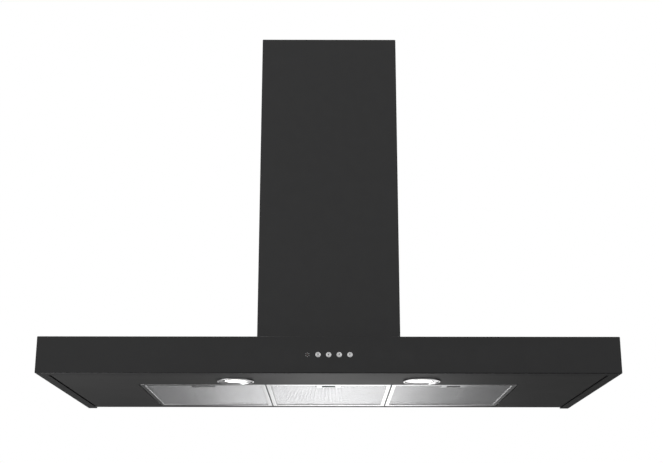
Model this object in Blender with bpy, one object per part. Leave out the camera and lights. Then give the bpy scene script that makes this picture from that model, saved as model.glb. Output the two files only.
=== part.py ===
"""Wall-mounted range hood with a flat box canopy, three grease filters and a telescopic chimney.

Metres, +Z up. The wall is the plane Y = 0 and the front faces -Y. The origin is the middle of the
wall rail's rear face, at the canopy's mid height. Left and right are as seen from the front.
"""

import math

import bmesh
import bpy
from mathutils import Vector

# ------------------------------------------------------------------ driving dimensions
SHEET = 0.001  # steel of the canopy, panels and covers
CLEARANCE = 0.0003  # between pieces that touch

CANOPY_WIDTH = 1.100
CANOPY_DEPTH = 0.500
CANOPY_HEIGHT = 0.070
CANOPY_BEND = 0.002  # outer radius of the canopy's folded edges
SIDE_LIP = 0.020
FRONT_LIP = 0.025
LIP_RETURN = 0.008  # height that the lips turn up at their inner edge

PANEL_RECESS = 0.001
PANEL_GROOVE = 0.003  # shadow gap between the lips and the panel
PANEL_FLANGE_GAP = 0.002
REAR_STRIP = 0.019  # panel behind the filters
BACK_RECESS = 0.012  # room for the wall rail behind the back plate
BACK_FLANGE = 0.015

RAIL_WIDTH = 0.360
RAIL_HEIGHT = 0.044
RAIL_THICKNESS = 0.002
RAIL_FOLD = 0.003
HOOK_X = 0.120
HOOK_WIDTH = 0.040
HOOK_REACH = 0.024
HOOK_RISE = 0.012
HOOK_WINDOW_MARGIN = 0.005

FILTER_COUNT = 3
FILTER_WIDTH = 0.250
FILTER_HEIGHT = 0.009
FILTER_SETBACK = 0.149  # from the canopy's front to the filters
FILTER_GAP = 0.002
FILTER_WALL = 0.0008
FILTER_SIDE_BAR = 0.009
FILTER_FRONT_BAR = 0.013
FILTER_REAR_BAR = 0.016
TAB_WIDTH = 0.020
TAB_LENGTH = 0.008
TAB_OFFSET = 0.080
PLEAT_COUNT = 16
PLEAT_SHEET = 0.0014
CROSS_RAIL_WIDTH = 0.016
CROSS_RAIL_FOOT = 0.012
CROSS_RAIL_CLEARANCE = 0.001

LATCH_WIDTH = 0.046
LATCH_LENGTH = 0.026
LATCH_TRAVEL = 0.0075
LATCH_REACH = 0.007  # how far the tongue lies over the panel
FINGER_SLOT_WIDTH = 0.021
FINGER_SLOT_LENGTH = 0.011
FINGER_SLOT_SETBACK = 0.014
FINGER_SLOT_ROOF = 0.0012
TONGUE_WIDTH = 0.012
TONGUE_SHEET = 0.0005

LAMP_X = 0.182
LAMP_SETBACK = 0.096
LAMP_RADIUS = 0.0365
LAMP_TUBE_RADIUS = 0.0285
LAMP_THROAT_RADIUS = 0.0200
LAMP_PROUD = 0.0025
LAMP_TUBE_HEIGHT = 0.014
LAMP_WALL = 0.002
LENS_THICKNESS = 0.002
CAN_HEIGHT = 0.020
CLIP_WIDTH = 0.010
CLIP_SHEET = 0.0006

BUTTON_PITCH = 0.020
BUTTON_NAMES = ("light", "speed_low", "speed_medium", "speed_high")
BUTTON_TRAVEL = 0.002
CAP_RADIUS = 0.0032
COLLAR_RADIUS = 0.0050
COLLAR_TUBE_RADIUS = 0.0041
COLLAR_PROUD = 0.0010
COLLAR_TUBE_LENGTH = 0.003  # behind the canopy's front sheet
CAP_PROUD = 0.0018
FLANGE_RADIUS = 0.0045
FLANGE_SHEET = 0.0012
STEM_RADIUS = 0.0018
SPRING_WIRE = 0.0003  # radius
SPRING_ROOM = 0.0012  # from a button's stem to the middle of its spring's wire
SPRING_TURNS = 3
INDICATOR_RADIUS = 0.0016
HOUSING_DEPTH = 0.0122
HOUSING_HEIGHT = 0.018
HOUSING_WEB = 0.0025
BOARD_SHEET = 0.0016
BOARD_GAP = 0.003  # between the button housing and the board

CHIMNEY_WIDTH = 0.300
CHIMNEY_DEPTH = 0.270
CHIMNEY_HEIGHT = 0.725
CHIMNEY_BEND = 0.003
CHIMNEY_RETURN = 0.015
SLIDE_GAP = 0.001  # between the two covers
UPPER_LIFT = 0.012  # of the upper cover above the canopy when it is retracted
UPPER_TOP_GAP = 0.003
BRACKET_HEIGHT = 0.030
VENT_COUNT = 4
VENT_LENGTH = 0.120
VENT_HEIGHT = 0.005
VENT_PITCH = 0.014

BLOWER_BOX_HEIGHT = 0.250
BLOWER_SIDE_ROOM = 0.012
BLOWER_FRONT_ROOM = 0.015
BLOWER_REAR_ROOM = 0.020
BLOWER_FLANGE = 0.010
INTAKE_MARGIN = 0.015
SCROLL_WALL = 0.002
SCROLL_FRONT_ROOM = 0.012
SCROLL_REAR_ROOM = 0.030
SCROLL_SIDE_ROOM = 0.058
SCROLL_BOTTOM_ROOM = 0.018
SCROLL_TONGUE_GAP = 0.007
SCROLL_GROWTH = 0.030
SCROLL_TURN = 1.5 * math.pi  # of the spiral, from the outlet's rear wall to the tongue
SCROLL_STEPS = 20
IMPELLER_SIDE_GAP = 0.004
BLADE_COUNT = 18
BLADE_DEPTH = 0.011
BLADE_SHEET = 0.0012
BLADE_STEPS = 2
BLADE_SWEEP = 0.24  # radians from a blade's inner edge to its outer one
IMPELLER_RING = 0.003
HUB_RADIUS = 0.012
SHAFT_RADIUS = 0.004
SHAFT_CLEARANCE = 0.0003
MOTOR_ROOM = 0.0155  # from the motor to the wheel's blades
MOTOR_LENGTH = 0.080
BRACKET_ARMS = 3
BRACKET_SHEET = 0.002

DUCT_RADIUS = 0.075
DUCT_WALL = 0.0025
DUCT_HEIGHT = 0.050
DUCT_FLANGE_MARGIN = 0.008
DUCT_FLANGE_SHEET = 0.003
FLAP_HEIGHT = 0.024  # of the flaps' pin above the blower box
FLAP_SHEET = 0.0015
FLAP_EDGE_GAP = 0.0015
FLAP_LEDGE = 0.004
PIN_RADIUS = 0.0015
KNUCKLE_RADIUS = 0.0035
KNUCKLE_WIDTH = 0.012
KNUCKLE_X = (0.020, 0.040)  # of a flap's near and far knuckle, on opposite sides of the middle

WIRING_BOX = (0.160, 0.090, 0.036)
WIRING_WALL = 0.002
WIRING_SIDE_SETBACK = 0.190  # from the canopy's left side to the box's centre
GLAND_RADIUS = 0.0085
CAPACITOR_RADIUS = 0.0125
CAPACITOR_LENGTH = 0.055

FINE_STEPS = 24
SMALL_STEPS = 12
BUTTON_STEPS = 16
DUCT_STEPS = 32
COIL_STEPS = 8  # for each turn of a spring
COIL_SIDES = 5
FLAP_STEPS = 12
BEND_STEPS = 2
SMOOTH_ANGLE = math.radians(35)  # a smooth piece's faces that meet at more than this stay sharp
STRAIGHT = 1e-6  # radians, under which a path doesn't turn

# ------------------------------------------------------------------ places worked out from them
TOP = CANOPY_HEIGHT / 2
BOTTOM = -TOP
FRONT = -CANOPY_DEPTH
SIDE = CANOPY_WIDTH / 2
ROOF = TOP - SHEET  # inner face of the canopy's top

FACE = BOTTOM + PANEL_RECESS  # lower face of the panel and the filters
SHELF = FACE + SHEET  # upper face of the panel
LIP_TOP = BOTTOM + LIP_RETURN
FLANGE_LOW = LIP_TOP + CLEARANCE
BACK = -BACK_RECESS - SHEET  # front face of the back plate
PANEL_REAR = BACK - CLEARANCE
PANEL_SIDE = SIDE - SIDE_LIP - PANEL_GROOVE
PANEL_FRONT = FRONT + FRONT_LIP + PANEL_GROOVE

FILTER_FRONT = FRONT + FILTER_SETBACK
OPENING_FRONT = FILTER_FRONT - FILTER_GAP
OPENING_REAR = PANEL_REAR - REAR_STRIP
FILTER_REAR = OPENING_REAR - FILTER_GAP
FILTER_PITCH = FILTER_WIDTH + FILTER_GAP
FIELD_WIDTH = FILTER_COUNT * FILTER_PITCH - FILTER_GAP
OPENING_SIDE = FIELD_WIDTH / 2 + FILTER_GAP
FILTER_TOP = FACE + FILTER_HEIGHT
FILTER_HINGE = (OPENING_REAR, SHELF)  # Y and Z of the edge that the rear tabs turn on
TRAY_LENGTH = LATCH_LENGTH + LATCH_TRAVEL + 4 * FILTER_WALL

COVER_INSET = SHEET + SLIDE_GAP  # of the upper cover from the lower one
COVER_INSIDE = CHIMNEY_WIDTH / 2 - COVER_INSET - SHEET
CHIMNEY_BASE = TOP + CLEARANCE
CHIMNEY_TOP = TOP + CHIMNEY_HEIGHT

BOX_SIDE = COVER_INSIDE - BLOWER_SIDE_ROOM
BOX_FRONT = -CHIMNEY_DEPTH + BLOWER_FRONT_ROOM
BOX_REAR = -BLOWER_REAR_ROOM
BOX_BASE = TOP + CLEARANCE
BOX_TOP = BOX_BASE + BLOWER_BOX_HEIGHT

SCROLL_HALF = BOX_SIDE - SHEET - SCROLL_SIDE_ROOM
SCROLL_SPAN = BOX_REAR - BOX_FRONT - 2 * SHEET - SCROLL_FRONT_ROOM - SCROLL_REAR_ROOM
MIDDLE_GROWTH = SCROLL_GROWTH * 2 / 3  # of the spiral under the wheel, and the mean of its two sides
IMPELLER_RADIUS = SCROLL_SPAN / 2 - SCROLL_WALL - SCROLL_TONGUE_GAP - MIDDLE_GROWTH
SCROLL_BASE_RADIUS = IMPELLER_RADIUS + SCROLL_TONGUE_GAP  # inner face of the scroll at its tongue
OUTLET_WIDTH = SCROLL_BASE_RADIUS + SCROLL_GROWTH
BLOWER_Y = BOX_REAR - SHEET - SCROLL_REAR_ROOM - SCROLL_WALL - OUTLET_WIDTH
BLOWER_Z = BOX_BASE + SCROLL_BOTTOM_ROOM + SCROLL_WALL + SCROLL_BASE_RADIUS + MIDDLE_GROWTH
BLADE_INNER = IMPELLER_RADIUS - BLADE_DEPTH
INLET_RADIUS = BLADE_INNER + SCROLL_WALL
MOTOR_RADIUS = BLADE_INNER - MOTOR_ROOM
DUCT_Y = BLOWER_Y + OUTLET_WIDTH / 2
DUCT_BASE = BOX_TOP + CLEARANCE
DUCT_BORE = DUCT_RADIUS - DUCT_WALL
PIN_Z = DUCT_BASE + FLAP_HEIGHT

BUTTON_ROW = [(i - (len(BUTTON_NAMES) - 2) / 2) * BUTTON_PITCH for i in range(len(BUTTON_NAMES))]
INDICATOR_X = BUTTON_ROW[0] - BUTTON_PITCH
HOUSING_FRONT = FRONT + SHEET + CLEARANCE
HOUSING_REAR = HOUSING_FRONT + HOUSING_DEPTH
COLLAR_REAR = FRONT + SHEET + COLLAR_TUBE_LENGTH
CAP_REAR = COLLAR_REAR + CLEARANCE
FLANGE_REAR = CAP_REAR + FLANGE_SHEET
BOARD_FRONT = HOUSING_REAR + BOARD_GAP

# ------------------------------------------------------------------ finishes
FINISHES = {
    "black_paint": ((0.030, 0.030, 0.031), 0.42, 0.0),
    "aluminium": ((0.76, 0.76, 0.77), 0.32, 1.0),
    "mesh": ((0.70, 0.70, 0.71), 0.40, 1.0),
    "chrome": ((0.82, 0.82, 0.83), 0.10, 1.0),
    "spring_steel": ((0.55, 0.56, 0.58), 0.30, 1.0),
    "zinc": ((0.56, 0.58, 0.60), 0.48, 1.0),
    "black_plastic": ((0.020, 0.020, 0.021), 0.50, 0.0),
    "grey_plastic": ((0.42, 0.43, 0.44), 0.48, 0.0),
    "white_plastic": ((0.78, 0.78, 0.76), 0.45, 0.0),
    "lens": ((0.95, 0.95, 0.93), 0.30, 0.0),
    "board": ((0.03, 0.20, 0.09), 0.50, 0.0),
}


# ------------------------------------------------------------------ shape makers
def clear_scene():
    for thing in list(bpy.data.objects):
        bpy.data.objects.remove(thing, do_unlink=True)


AXES = {
    "x": (Vector((0, 1, 0)), Vector((0, 0, 1)), Vector((1, 0, 0))),
    "y": (Vector((0, 0, 1)), Vector((1, 0, 0)), Vector((0, 1, 0))),
    "z": (Vector((1, 0, 0)), Vector((0, 1, 0)), Vector((0, 0, 1))),
}


def add_prism(bm, outline, axis, start, end):
    """Adds a closed outline drawn across an axis, run from start to end along it.

    The outline's points are (y, z) for axis x, (z, x) for axis y and (x, y) for axis z.
    """
    across, up, along = AXES[axis]
    low = [bm.verts.new(across * a + up * b + along * start) for a, b in outline]
    high = [bm.verts.new(across * a + up * b + along * end) for a, b in outline]
    bm.faces.new(low)
    bm.faces.new(high)
    for i, corner in enumerate(low):
        after = (i + 1) % len(low)
        bm.faces.new((corner, low[after], high[after], high[i]))


def prism(outline, axis, start, end):
    bm = bmesh.new()
    add_prism(bm, outline, axis, start, end)
    return bm


def boxes(*corners):
    """One box for each pair of opposite corners."""
    bm = bmesh.new()
    for low, high in corners:
        outline = [(low[0], low[1]), (high[0], low[1]), (high[0], high[1]), (low[0], high[1])]
        add_prism(bm, outline, "z", low[2], high[2])
    return bm


def add_turned(bm, profile, centre, axis, steps):
    """Adds a solid of revolution. The profile is (radius, height along the axis) points.

    A profile that starts and ends on the axis makes a solid, any other one a closed ring.
    """
    across, up, along = AXES[axis]
    centre = Vector(centre)
    rings = []
    for radius, height in profile:
        base = centre + along * height
        if radius == 0:
            rings.append([bm.verts.new(base)])
            continue
        turns = [2 * math.pi * (i + 0.5) / steps for i in range(steps)]
        rings.append(
            [bm.verts.new(base + (across * math.cos(t) + up * math.sin(t)) * radius) for t in turns]
        )
    pairs = list(zip(rings, rings[1:]))
    if profile[0][0] > 0:
        pairs.append((rings[-1], rings[0]))
    for first, second in pairs:
        for i in range(steps):
            after = (i + 1) % steps
            corners = [first[i % len(first)], first[after % len(first)]]
            corners += [second[after % len(second)], second[i % len(second)]]
            bm.faces.new(list(dict.fromkeys(corners)))


def turned(profile, centre, axis, steps=FINE_STEPS):
    bm = bmesh.new()
    add_turned(bm, profile, centre, axis, steps)
    return bm


def rods(places, radius, axis, start, end, steps=SMALL_STEPS):
    """Round rods along an axis, one through each place."""
    bm = bmesh.new()
    for place in places:
        add_turned(bm, [(0, start), (radius, start), (radius, end), (0, end)], place, axis, steps)
    return bm


def folded(path, thickness, bend):
    """The closed outline of a sheet bent along a path.

    The path's points are the corners of the sheet's right-hand face, seen along the path, and
    bend is the outer radius of each fold.
    """
    points = [Vector(p) for p in path]
    near, far = [], []
    for i, corner in enumerate(points):
        before = (corner - points[i - 1]).normalized() if i else (points[1] - corner).normalized()
        after = (points[i + 1] - corner).normalized() if i + 1 < len(points) else before
        turn = math.atan2(before.cross(after), before.dot(after))
        left = Vector((-before.y, before.x))
        if abs(turn) < STRAIGHT:
            near.append(corner)
            far.append(corner + left * thickness)
            continue
        side = math.copysign(1, turn)
        near_radius = bend if side > 0 else bend - thickness
        centre = corner - before * near_radius * math.tan(abs(turn) / 2) + left * side * near_radius
        for step in range(BEND_STEPS + 1):
            angle = turn * step / BEND_STEPS
            spoke = -left * side
            spoke = Vector(
                (
                    spoke.x * math.cos(angle) - spoke.y * math.sin(angle),
                    spoke.x * math.sin(angle) + spoke.y * math.cos(angle),
                )
            )
            near.append(centre + spoke * near_radius)
            far.append(centre + spoke * (near_radius - side * thickness))
    return near + far[::-1]


def coil(centre, axis, radius, wire, length, turns):
    """A closed coil spring of round wire, from centre along the axis."""
    across, up, along = AXES[axis]
    bm = bmesh.new()
    steps, sides = COIL_STEPS * turns, COIL_SIDES
    rings = []
    for i in range(steps + 1):
        turn = 2 * math.pi * turns * i / steps
        outward = across * math.cos(turn) + up * math.sin(turn)
        middle = Vector(centre) + outward * radius + along * (wire + (length - 2 * wire) * i / steps)
        spokes = [2 * math.pi * s / sides for s in range(sides)]
        rings.append(
            [bm.verts.new(middle + (outward * math.cos(a) + along * math.sin(a)) * wire) for a in spokes]
        )
    for first, second in zip(rings, rings[1:]):
        for s in range(sides):
            after = (s + 1) % sides
            bm.faces.new((first[s], first[after], second[after], second[s]))
    bm.faces.new(rings[0])
    bm.faces.new(rings[-1])
    return bm


# ------------------------------------------------------------------ objects from shapes
def mesh_of(name, bm, pivot):
    bmesh.ops.recalc_face_normals(bm, faces=bm.faces)
    bmesh.ops.translate(bm, vec=-Vector(pivot), verts=bm.verts)
    mesh = bpy.data.meshes.new(name)
    bm.to_mesh(mesh)
    bm.free()
    return mesh


def finish_of(name, finish):
    colour, roughness, metallic = FINISHES[finish]
    material = bpy.data.materials.new(f"{name}_{finish}")
    material.use_nodes = True
    shader = material.node_tree.nodes["Principled BSDF"]
    shader.inputs["Base Color"].default_value = (*colour, 1)
    shader.inputs["Roughness"].default_value = roughness
    shader.inputs["Metallic"].default_value = metallic
    return material


def piece(name, bm, finish, pivot=(0, 0, 0), parent=None, smooth=False):
    """A named sub-part. Its origin is at pivot, which is a moving piece's joint axis."""
    mesh = mesh_of(name, bm, pivot)
    mesh.materials.append(finish_of(name, finish))
    if smooth:
        mesh.shade_smooth()
        mesh.set_sharp_from_angle(angle=SMOOTH_ANGLE)
    thing = bpy.data.objects.new(name, mesh)
    thing.location = pivot
    bpy.context.scene.collection.objects.link(thing)
    if parent:
        thing.parent = parent
        thing.location = Vector(pivot) - parent.location
    return thing


def carve(thing, operation, shapes):
    """Cuts each shape from a piece, or joins it to the piece."""
    for number, bm in enumerate(shapes):
        name = f"{thing.name}_{operation.lower()}_{number}"
        helper = bpy.data.objects.new(name, mesh_of(name, bm, (0, 0, 0)))
        helper.hide_render = True
        helper.display_type = "WIRE"
        bpy.context.scene.collection.objects.link(helper)
        boolean = thing.modifiers.new(name, "BOOLEAN")
        boolean.object = helper
        boolean.operation = operation
        boolean.solver = "EXACT"


def cut(thing, *shapes):
    carve(thing, "DIFFERENCE", shapes)


def join(thing, *shapes):
    carve(thing, "UNION", shapes)


def folded_edges(bm):
    """Rounds every edge that isn't on the rear."""
    rear = max(v.co.y for v in bm.verts)
    edges = [e for e in bm.edges if min(v.co.y for v in e.verts) < rear]
    edges = [e for e in edges if not all(abs(v.co.y - rear) < CLEARANCE for v in e.verts)]
    bmesh.ops.bevel(
        bm, geom=edges, offset=CANOPY_BEND, segments=BEND_STEPS, profile=0.5, affect="EDGES"
    )
    return bm


# ------------------------------------------------------------------ canopy
def make_canopy_shell():
    shell = folded_edges(boxes(((-SIDE, FRONT, BOTTOM), (SIDE, 0, TOP))))
    shell = piece("canopy_shell", shell, "black_paint")
    past = CANOPY_HEIGHT
    inner = SIDE - SHEET
    cavity = boxes(((-inner, FRONT + SHEET, LIP_TOP), (inner, past, ROOF)))
    lip_side = SIDE - SIDE_LIP
    lip_front = FRONT + FRONT_LIP
    channel = prism(
        [
            (-inner, past),
            (-inner, FRONT + SHEET),
            (inner, FRONT + SHEET),
            (inner, past),
            (lip_side + SHEET, past),
            (lip_side + SHEET, lip_front - SHEET),
            (-lip_side - SHEET, lip_front - SHEET),
            (-lip_side - SHEET, past),
        ],
        "z",
        BOTTOM + SHEET,
        LIP_TOP + SHEET,
    )
    mouth = boxes(((-lip_side, lip_front, BOTTOM - SHEET), (lip_side, past, LIP_TOP + SHEET)))
    intake = boxes(
        (
            (-BOX_SIDE + INTAKE_MARGIN, BOX_FRONT + INTAKE_MARGIN, ROOF - SHEET),
            (BOX_SIDE - INTAKE_MARGIN, BOX_REAR - INTAKE_MARGIN, TOP + SHEET),
        )
    )
    holes = [(x, FRONT, 0) for x in BUTTON_ROW]
    collar_holes = rods(holes, COLLAR_TUBE_RADIUS + CLEARANCE, "y", -SHEET, 2 * SHEET)
    lens_hole = rods([(INDICATOR_X, FRONT, 0)], INDICATOR_RADIUS + CLEARANCE, "y", -SHEET, 2 * SHEET)
    cut(shell, cavity, channel, mouth, intake, collar_holes, lens_hole)


def make_back_plate():
    side = SIDE - SHEET - CLEARANCE
    low, high = FLANGE_LOW + SHEET + CLEARANCE, ROOF - CLEARANCE
    front, rear = BACK - BACK_FLANGE, BACK + SHEET
    section = folded([(front, low), (rear, low), (rear, high), (front, high)], SHEET, CANOPY_BEND)
    plate = piece("back_plate", prism(section, "x", -side, side), "zinc")
    half = HOOK_WIDTH / 2 + HOOK_WINDOW_MARGIN
    sill = hook_seat() + CLEARANCE - HOOK_RISE - HOOK_WINDOW_MARGIN
    windows = [
        ((x - half, BACK - SHEET, sill), (x + half, BACK + 2 * SHEET, hook_seat() + CLEARANCE))
        for x in (-HOOK_X, HOOK_X)
    ]
    cut(plate, boxes(*windows))


def hook_seat():
    """Height of the upper face of the wall rail's prongs, which the back plate hangs on."""
    return RAIL_HEIGHT / 2 - RAIL_THICKNESS * 4


def make_wall_rail():
    """Rail for the wall, whose two hooks pass through the back plate's windows."""
    low, high = -RAIL_HEIGHT / 2, RAIL_HEIGHT / 2
    plate = boxes(((-RAIL_WIDTH / 2, -RAIL_THICKNESS, low), (RAIL_WIDTH / 2, 0, high)))
    rail = piece("wall_rail", plate, "zinc")
    seat = hook_seat()
    path = [
        (-RAIL_THICKNESS / 2, seat - RAIL_THICKNESS),
        (-HOOK_REACH, seat - RAIL_THICKNESS),
        (-HOOK_REACH, seat + HOOK_RISE),
    ]
    outline = folded(path[::-1], RAIL_THICKNESS, RAIL_FOLD)
    hooks = [
        prism(outline, "x", x - HOOK_WIDTH / 2, x + HOOK_WIDTH / 2) for x in (-HOOK_X, HOOK_X)
    ]
    join(rail, *hooks)
    screw_holes = [(side * (RAIL_WIDTH / 2 - HOOK_WIDTH / 2), 0, 0) for side in (-1, 1)]
    cut(rail, rods(screw_holes, RAIL_FOLD, "y", -HOOK_RISE, HOOK_RISE))


def make_underside_panel():
    """Shallow pan whose flange rests on the canopy's lips, with the filter and lamp openings."""
    high = FLANGE_LOW + SHEET
    pan = boxes(((-PANEL_SIDE, PANEL_FRONT, FACE), (PANEL_SIDE, PANEL_REAR, high)))
    panel = piece("underside_panel", pan, "black_paint")
    side = SIDE - SHEET - PANEL_FLANGE_GAP
    front = FRONT + SHEET + PANEL_FLANGE_GAP
    join(panel, boxes(((-side, front, FLANGE_LOW), (side, PANEL_REAR, high))))
    pocket = boxes(
        (
            (-PANEL_SIDE + SHEET, PANEL_FRONT + SHEET, SHELF),
            (PANEL_SIDE - SHEET, PANEL_REAR - SHEET, high + SHEET),
        )
    )
    opening = boxes(
        ((-OPENING_SIDE, OPENING_FRONT, FACE - SHEET), (OPENING_SIDE, OPENING_REAR, SHELF + SHEET))
    )
    lamps = [(x, FRONT + LAMP_SETBACK, FACE) for x in (-LAMP_X, LAMP_X)]
    lamp_holes = rods(lamps, LAMP_TUBE_RADIUS + CLEARANCE, "z", -SHEET, 2 * SHEET, FINE_STEPS)
    cut(panel, pocket, opening, lamp_holes)


def make_cross_rail(name, x):
    """Bridge over the joint of two filters, which keeps them from being pushed up."""
    foot = SHELF + CLEARANCE
    deck = FILTER_TOP + CROSS_RAIL_CLEARANCE
    front, rear = OPENING_FRONT - FILTER_GAP, OPENING_REAR + FILTER_GAP
    path = [
        (front - CROSS_RAIL_FOOT, foot),
        (front, foot),
        (front, deck),
        (rear, deck),
        (rear, foot),
        (rear + CROSS_RAIL_FOOT, foot),
    ]
    half = CROSS_RAIL_WIDTH / 2
    piece(name, prism(folded(path, SHEET, CANOPY_BEND), "x", x - half, x + half), "zinc")


# ------------------------------------------------------------------ filters
def filter_tray(x, inset, mouth_front):
    """The latch's tray in the front bar, grown or shrunk by inset on each side."""
    half = LATCH_WIDTH / 2 + FILTER_WALL + CLEARANCE - inset
    low = (x - half, mouth_front, FACE + inset)
    return low, (x + half, FILTER_FRONT + TRAY_LENGTH - inset, FILTER_TOP - inset)


def make_filter_frame(name, x, pivot):
    """Channel frame, open inwards, with a latch tray at the front and two tabs at the rear."""
    half = FILTER_WIDTH / 2
    outer = boxes(((x - half, FILTER_FRONT, FACE), (x + half, FILTER_REAR, FILTER_TOP)))
    frame = piece(name, outer, "aluminium", pivot)
    window = boxes(
        (
            (x - half + FILTER_SIDE_BAR, FILTER_FRONT + FILTER_FRONT_BAR, FACE - SHEET),
            (x + half - FILTER_SIDE_BAR, FILTER_REAR - FILTER_REAR_BAR, FILTER_TOP + SHEET),
        )
    )
    wall = FILTER_WALL
    channel = boxes(
        (
            (x - half + wall, FILTER_FRONT + wall, FACE + wall),
            (x + half - wall, FILTER_REAR - wall, FILTER_TOP - wall),
        )
    )
    cut(frame, window, channel)
    tab = SHELF + CLEARANCE
    tab_half, tab_end = TAB_WIDTH / 2, FILTER_REAR + TAB_LENGTH
    tabs = [
        ((c - tab_half, FILTER_REAR - wall, tab), (c + tab_half, tab_end, tab + SHEET))
        for c in (x - TAB_OFFSET, x + TAB_OFFSET)
    ]
    join(frame, boxes(filter_tray(x, 0, FILTER_FRONT)), boxes(*tabs))
    inside = boxes(filter_tray(x, wall, FILTER_FRONT + wall))
    grip = FINGER_SLOT_WIDTH / 2 + 4 * wall
    mouth = boxes(
        (
            (x - grip, FILTER_FRONT + FILTER_FRONT_BAR, FACE - SHEET),
            (x + grip, FILTER_FRONT + TRAY_LENGTH - 3 * wall, FACE + 2 * wall),
        )
    )
    exit_half = TONGUE_WIDTH / 2 + 2 * CLEARANCE
    tongue_exit = boxes(
        (
            (x - exit_half, FILTER_FRONT - wall, FILTER_TOP - 3 * wall - CLEARANCE),
            (x + exit_half, FILTER_FRONT + 2 * wall, FILTER_TOP - wall),
        )
    )
    cut(frame, inside, mouth, tongue_exit)
    return frame


def make_filter_mesh(name, x, frame, pivot):
    """Pleated mesh pack, held in the frame's channel and notched round the latch tray."""
    gap = FILTER_WALL + CLEARANCE
    half = FILTER_WIDTH / 2 - gap
    low, high = FACE + gap, FILTER_TOP - gap
    pleat = 2 * half / PLEAT_COUNT
    lower, upper = [], []
    for i in range(2 * PLEAT_COUNT + 1):
        crest = i % 2
        at = -half + i * pleat / 2
        lower.append((low + (high - low - PLEAT_SHEET) * crest, x + at))
        upper.append((low + PLEAT_SHEET + (high - low - PLEAT_SHEET) * crest, x + at))
    pack = prism(lower + upper[::-1], "y", FILTER_FRONT + gap, FILTER_REAR - gap)
    mesh = piece(name, pack, "mesh", pivot, frame)
    cut(mesh, boxes(filter_tray(x, -CLEARANCE, FILTER_FRONT)))


def make_filter_latch(name, x, frame, pivot):
    """Slider in the tray, with a finger slot below and a groove above for the spring."""
    gap = FILTER_WALL + CLEARANCE
    front = FILTER_FRONT + gap
    low, high = FACE + gap, FILTER_TOP - gap
    half = LATCH_WIDTH / 2
    block = boxes(((x - half, front, low), (x + half, front + LATCH_LENGTH, high)))
    latch = piece(name, block, "grey_plastic", pivot, frame)
    slot = FINGER_SLOT_WIDTH / 2
    slot_front = FILTER_FRONT + FINGER_SLOT_SETBACK
    finger = boxes(
        (
            (x - slot, slot_front, low - SHEET),
            (x + slot, slot_front + FINGER_SLOT_LENGTH, high - 2 * TONGUE_SHEET - FINGER_SLOT_ROOF),
        )
    )
    groove_half = TONGUE_WIDTH / 2 + CLEARANCE
    groove = boxes(
        (
            (x - groove_half, front - SHEET, high - TONGUE_SHEET - CLEARANCE),
            (x + groove_half, front + LATCH_LENGTH + SHEET, high + SHEET),
        )
    )
    cut(latch, finger, groove)


def make_latch_spring(name, x, frame, pivot):
    """Spring-steel strip: a tongue over the panel in front, and a bow against the tray behind."""
    gap = FILTER_WALL + CLEARANCE
    under = FILTER_TOP - gap - TONGUE_SHEET
    rest = SHELF + CLEARANCE
    drop = OPENING_FRONT - 4 * TONGUE_SHEET
    behind = FILTER_FRONT + gap + LATCH_LENGTH + 2 * TONGUE_SHEET
    tray_end = FILTER_FRONT + TRAY_LENGTH - gap
    path = [
        (OPENING_FRONT - LATCH_REACH, rest),
        (drop, rest),
        (drop, under),
        (behind, under),
        (behind, rest + TONGUE_SHEET),
        (tray_end - TONGUE_SHEET, rest + TONGUE_SHEET),
        (tray_end - TONGUE_SHEET, under - 4 * TONGUE_SHEET),
    ]
    strip = folded(path, TONGUE_SHEET, 2 * TONGUE_SHEET)
    half = TONGUE_WIDTH / 2
    piece(name, prism(strip, "x", x - half, x + half), "spring_steel", pivot, frame)


def make_filters():
    middle = (FILTER_COUNT - 1) / 2
    for i, side in enumerate(("left", "middle", "right")):
        x = (i - middle) * FILTER_PITCH
        pivot = (x, *FILTER_HINGE)
        latch_pivot = (x, FILTER_FRONT, FACE)
        frame = make_filter_frame(f"filter_frame_{side}", x, pivot)
        make_filter_mesh(f"filter_mesh_{side}", x, frame, pivot)
        make_filter_latch(f"filter_latch_{side}", x, frame, latch_pivot)
        make_latch_spring(f"latch_spring_{side}", x, frame, latch_pivot)


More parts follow.
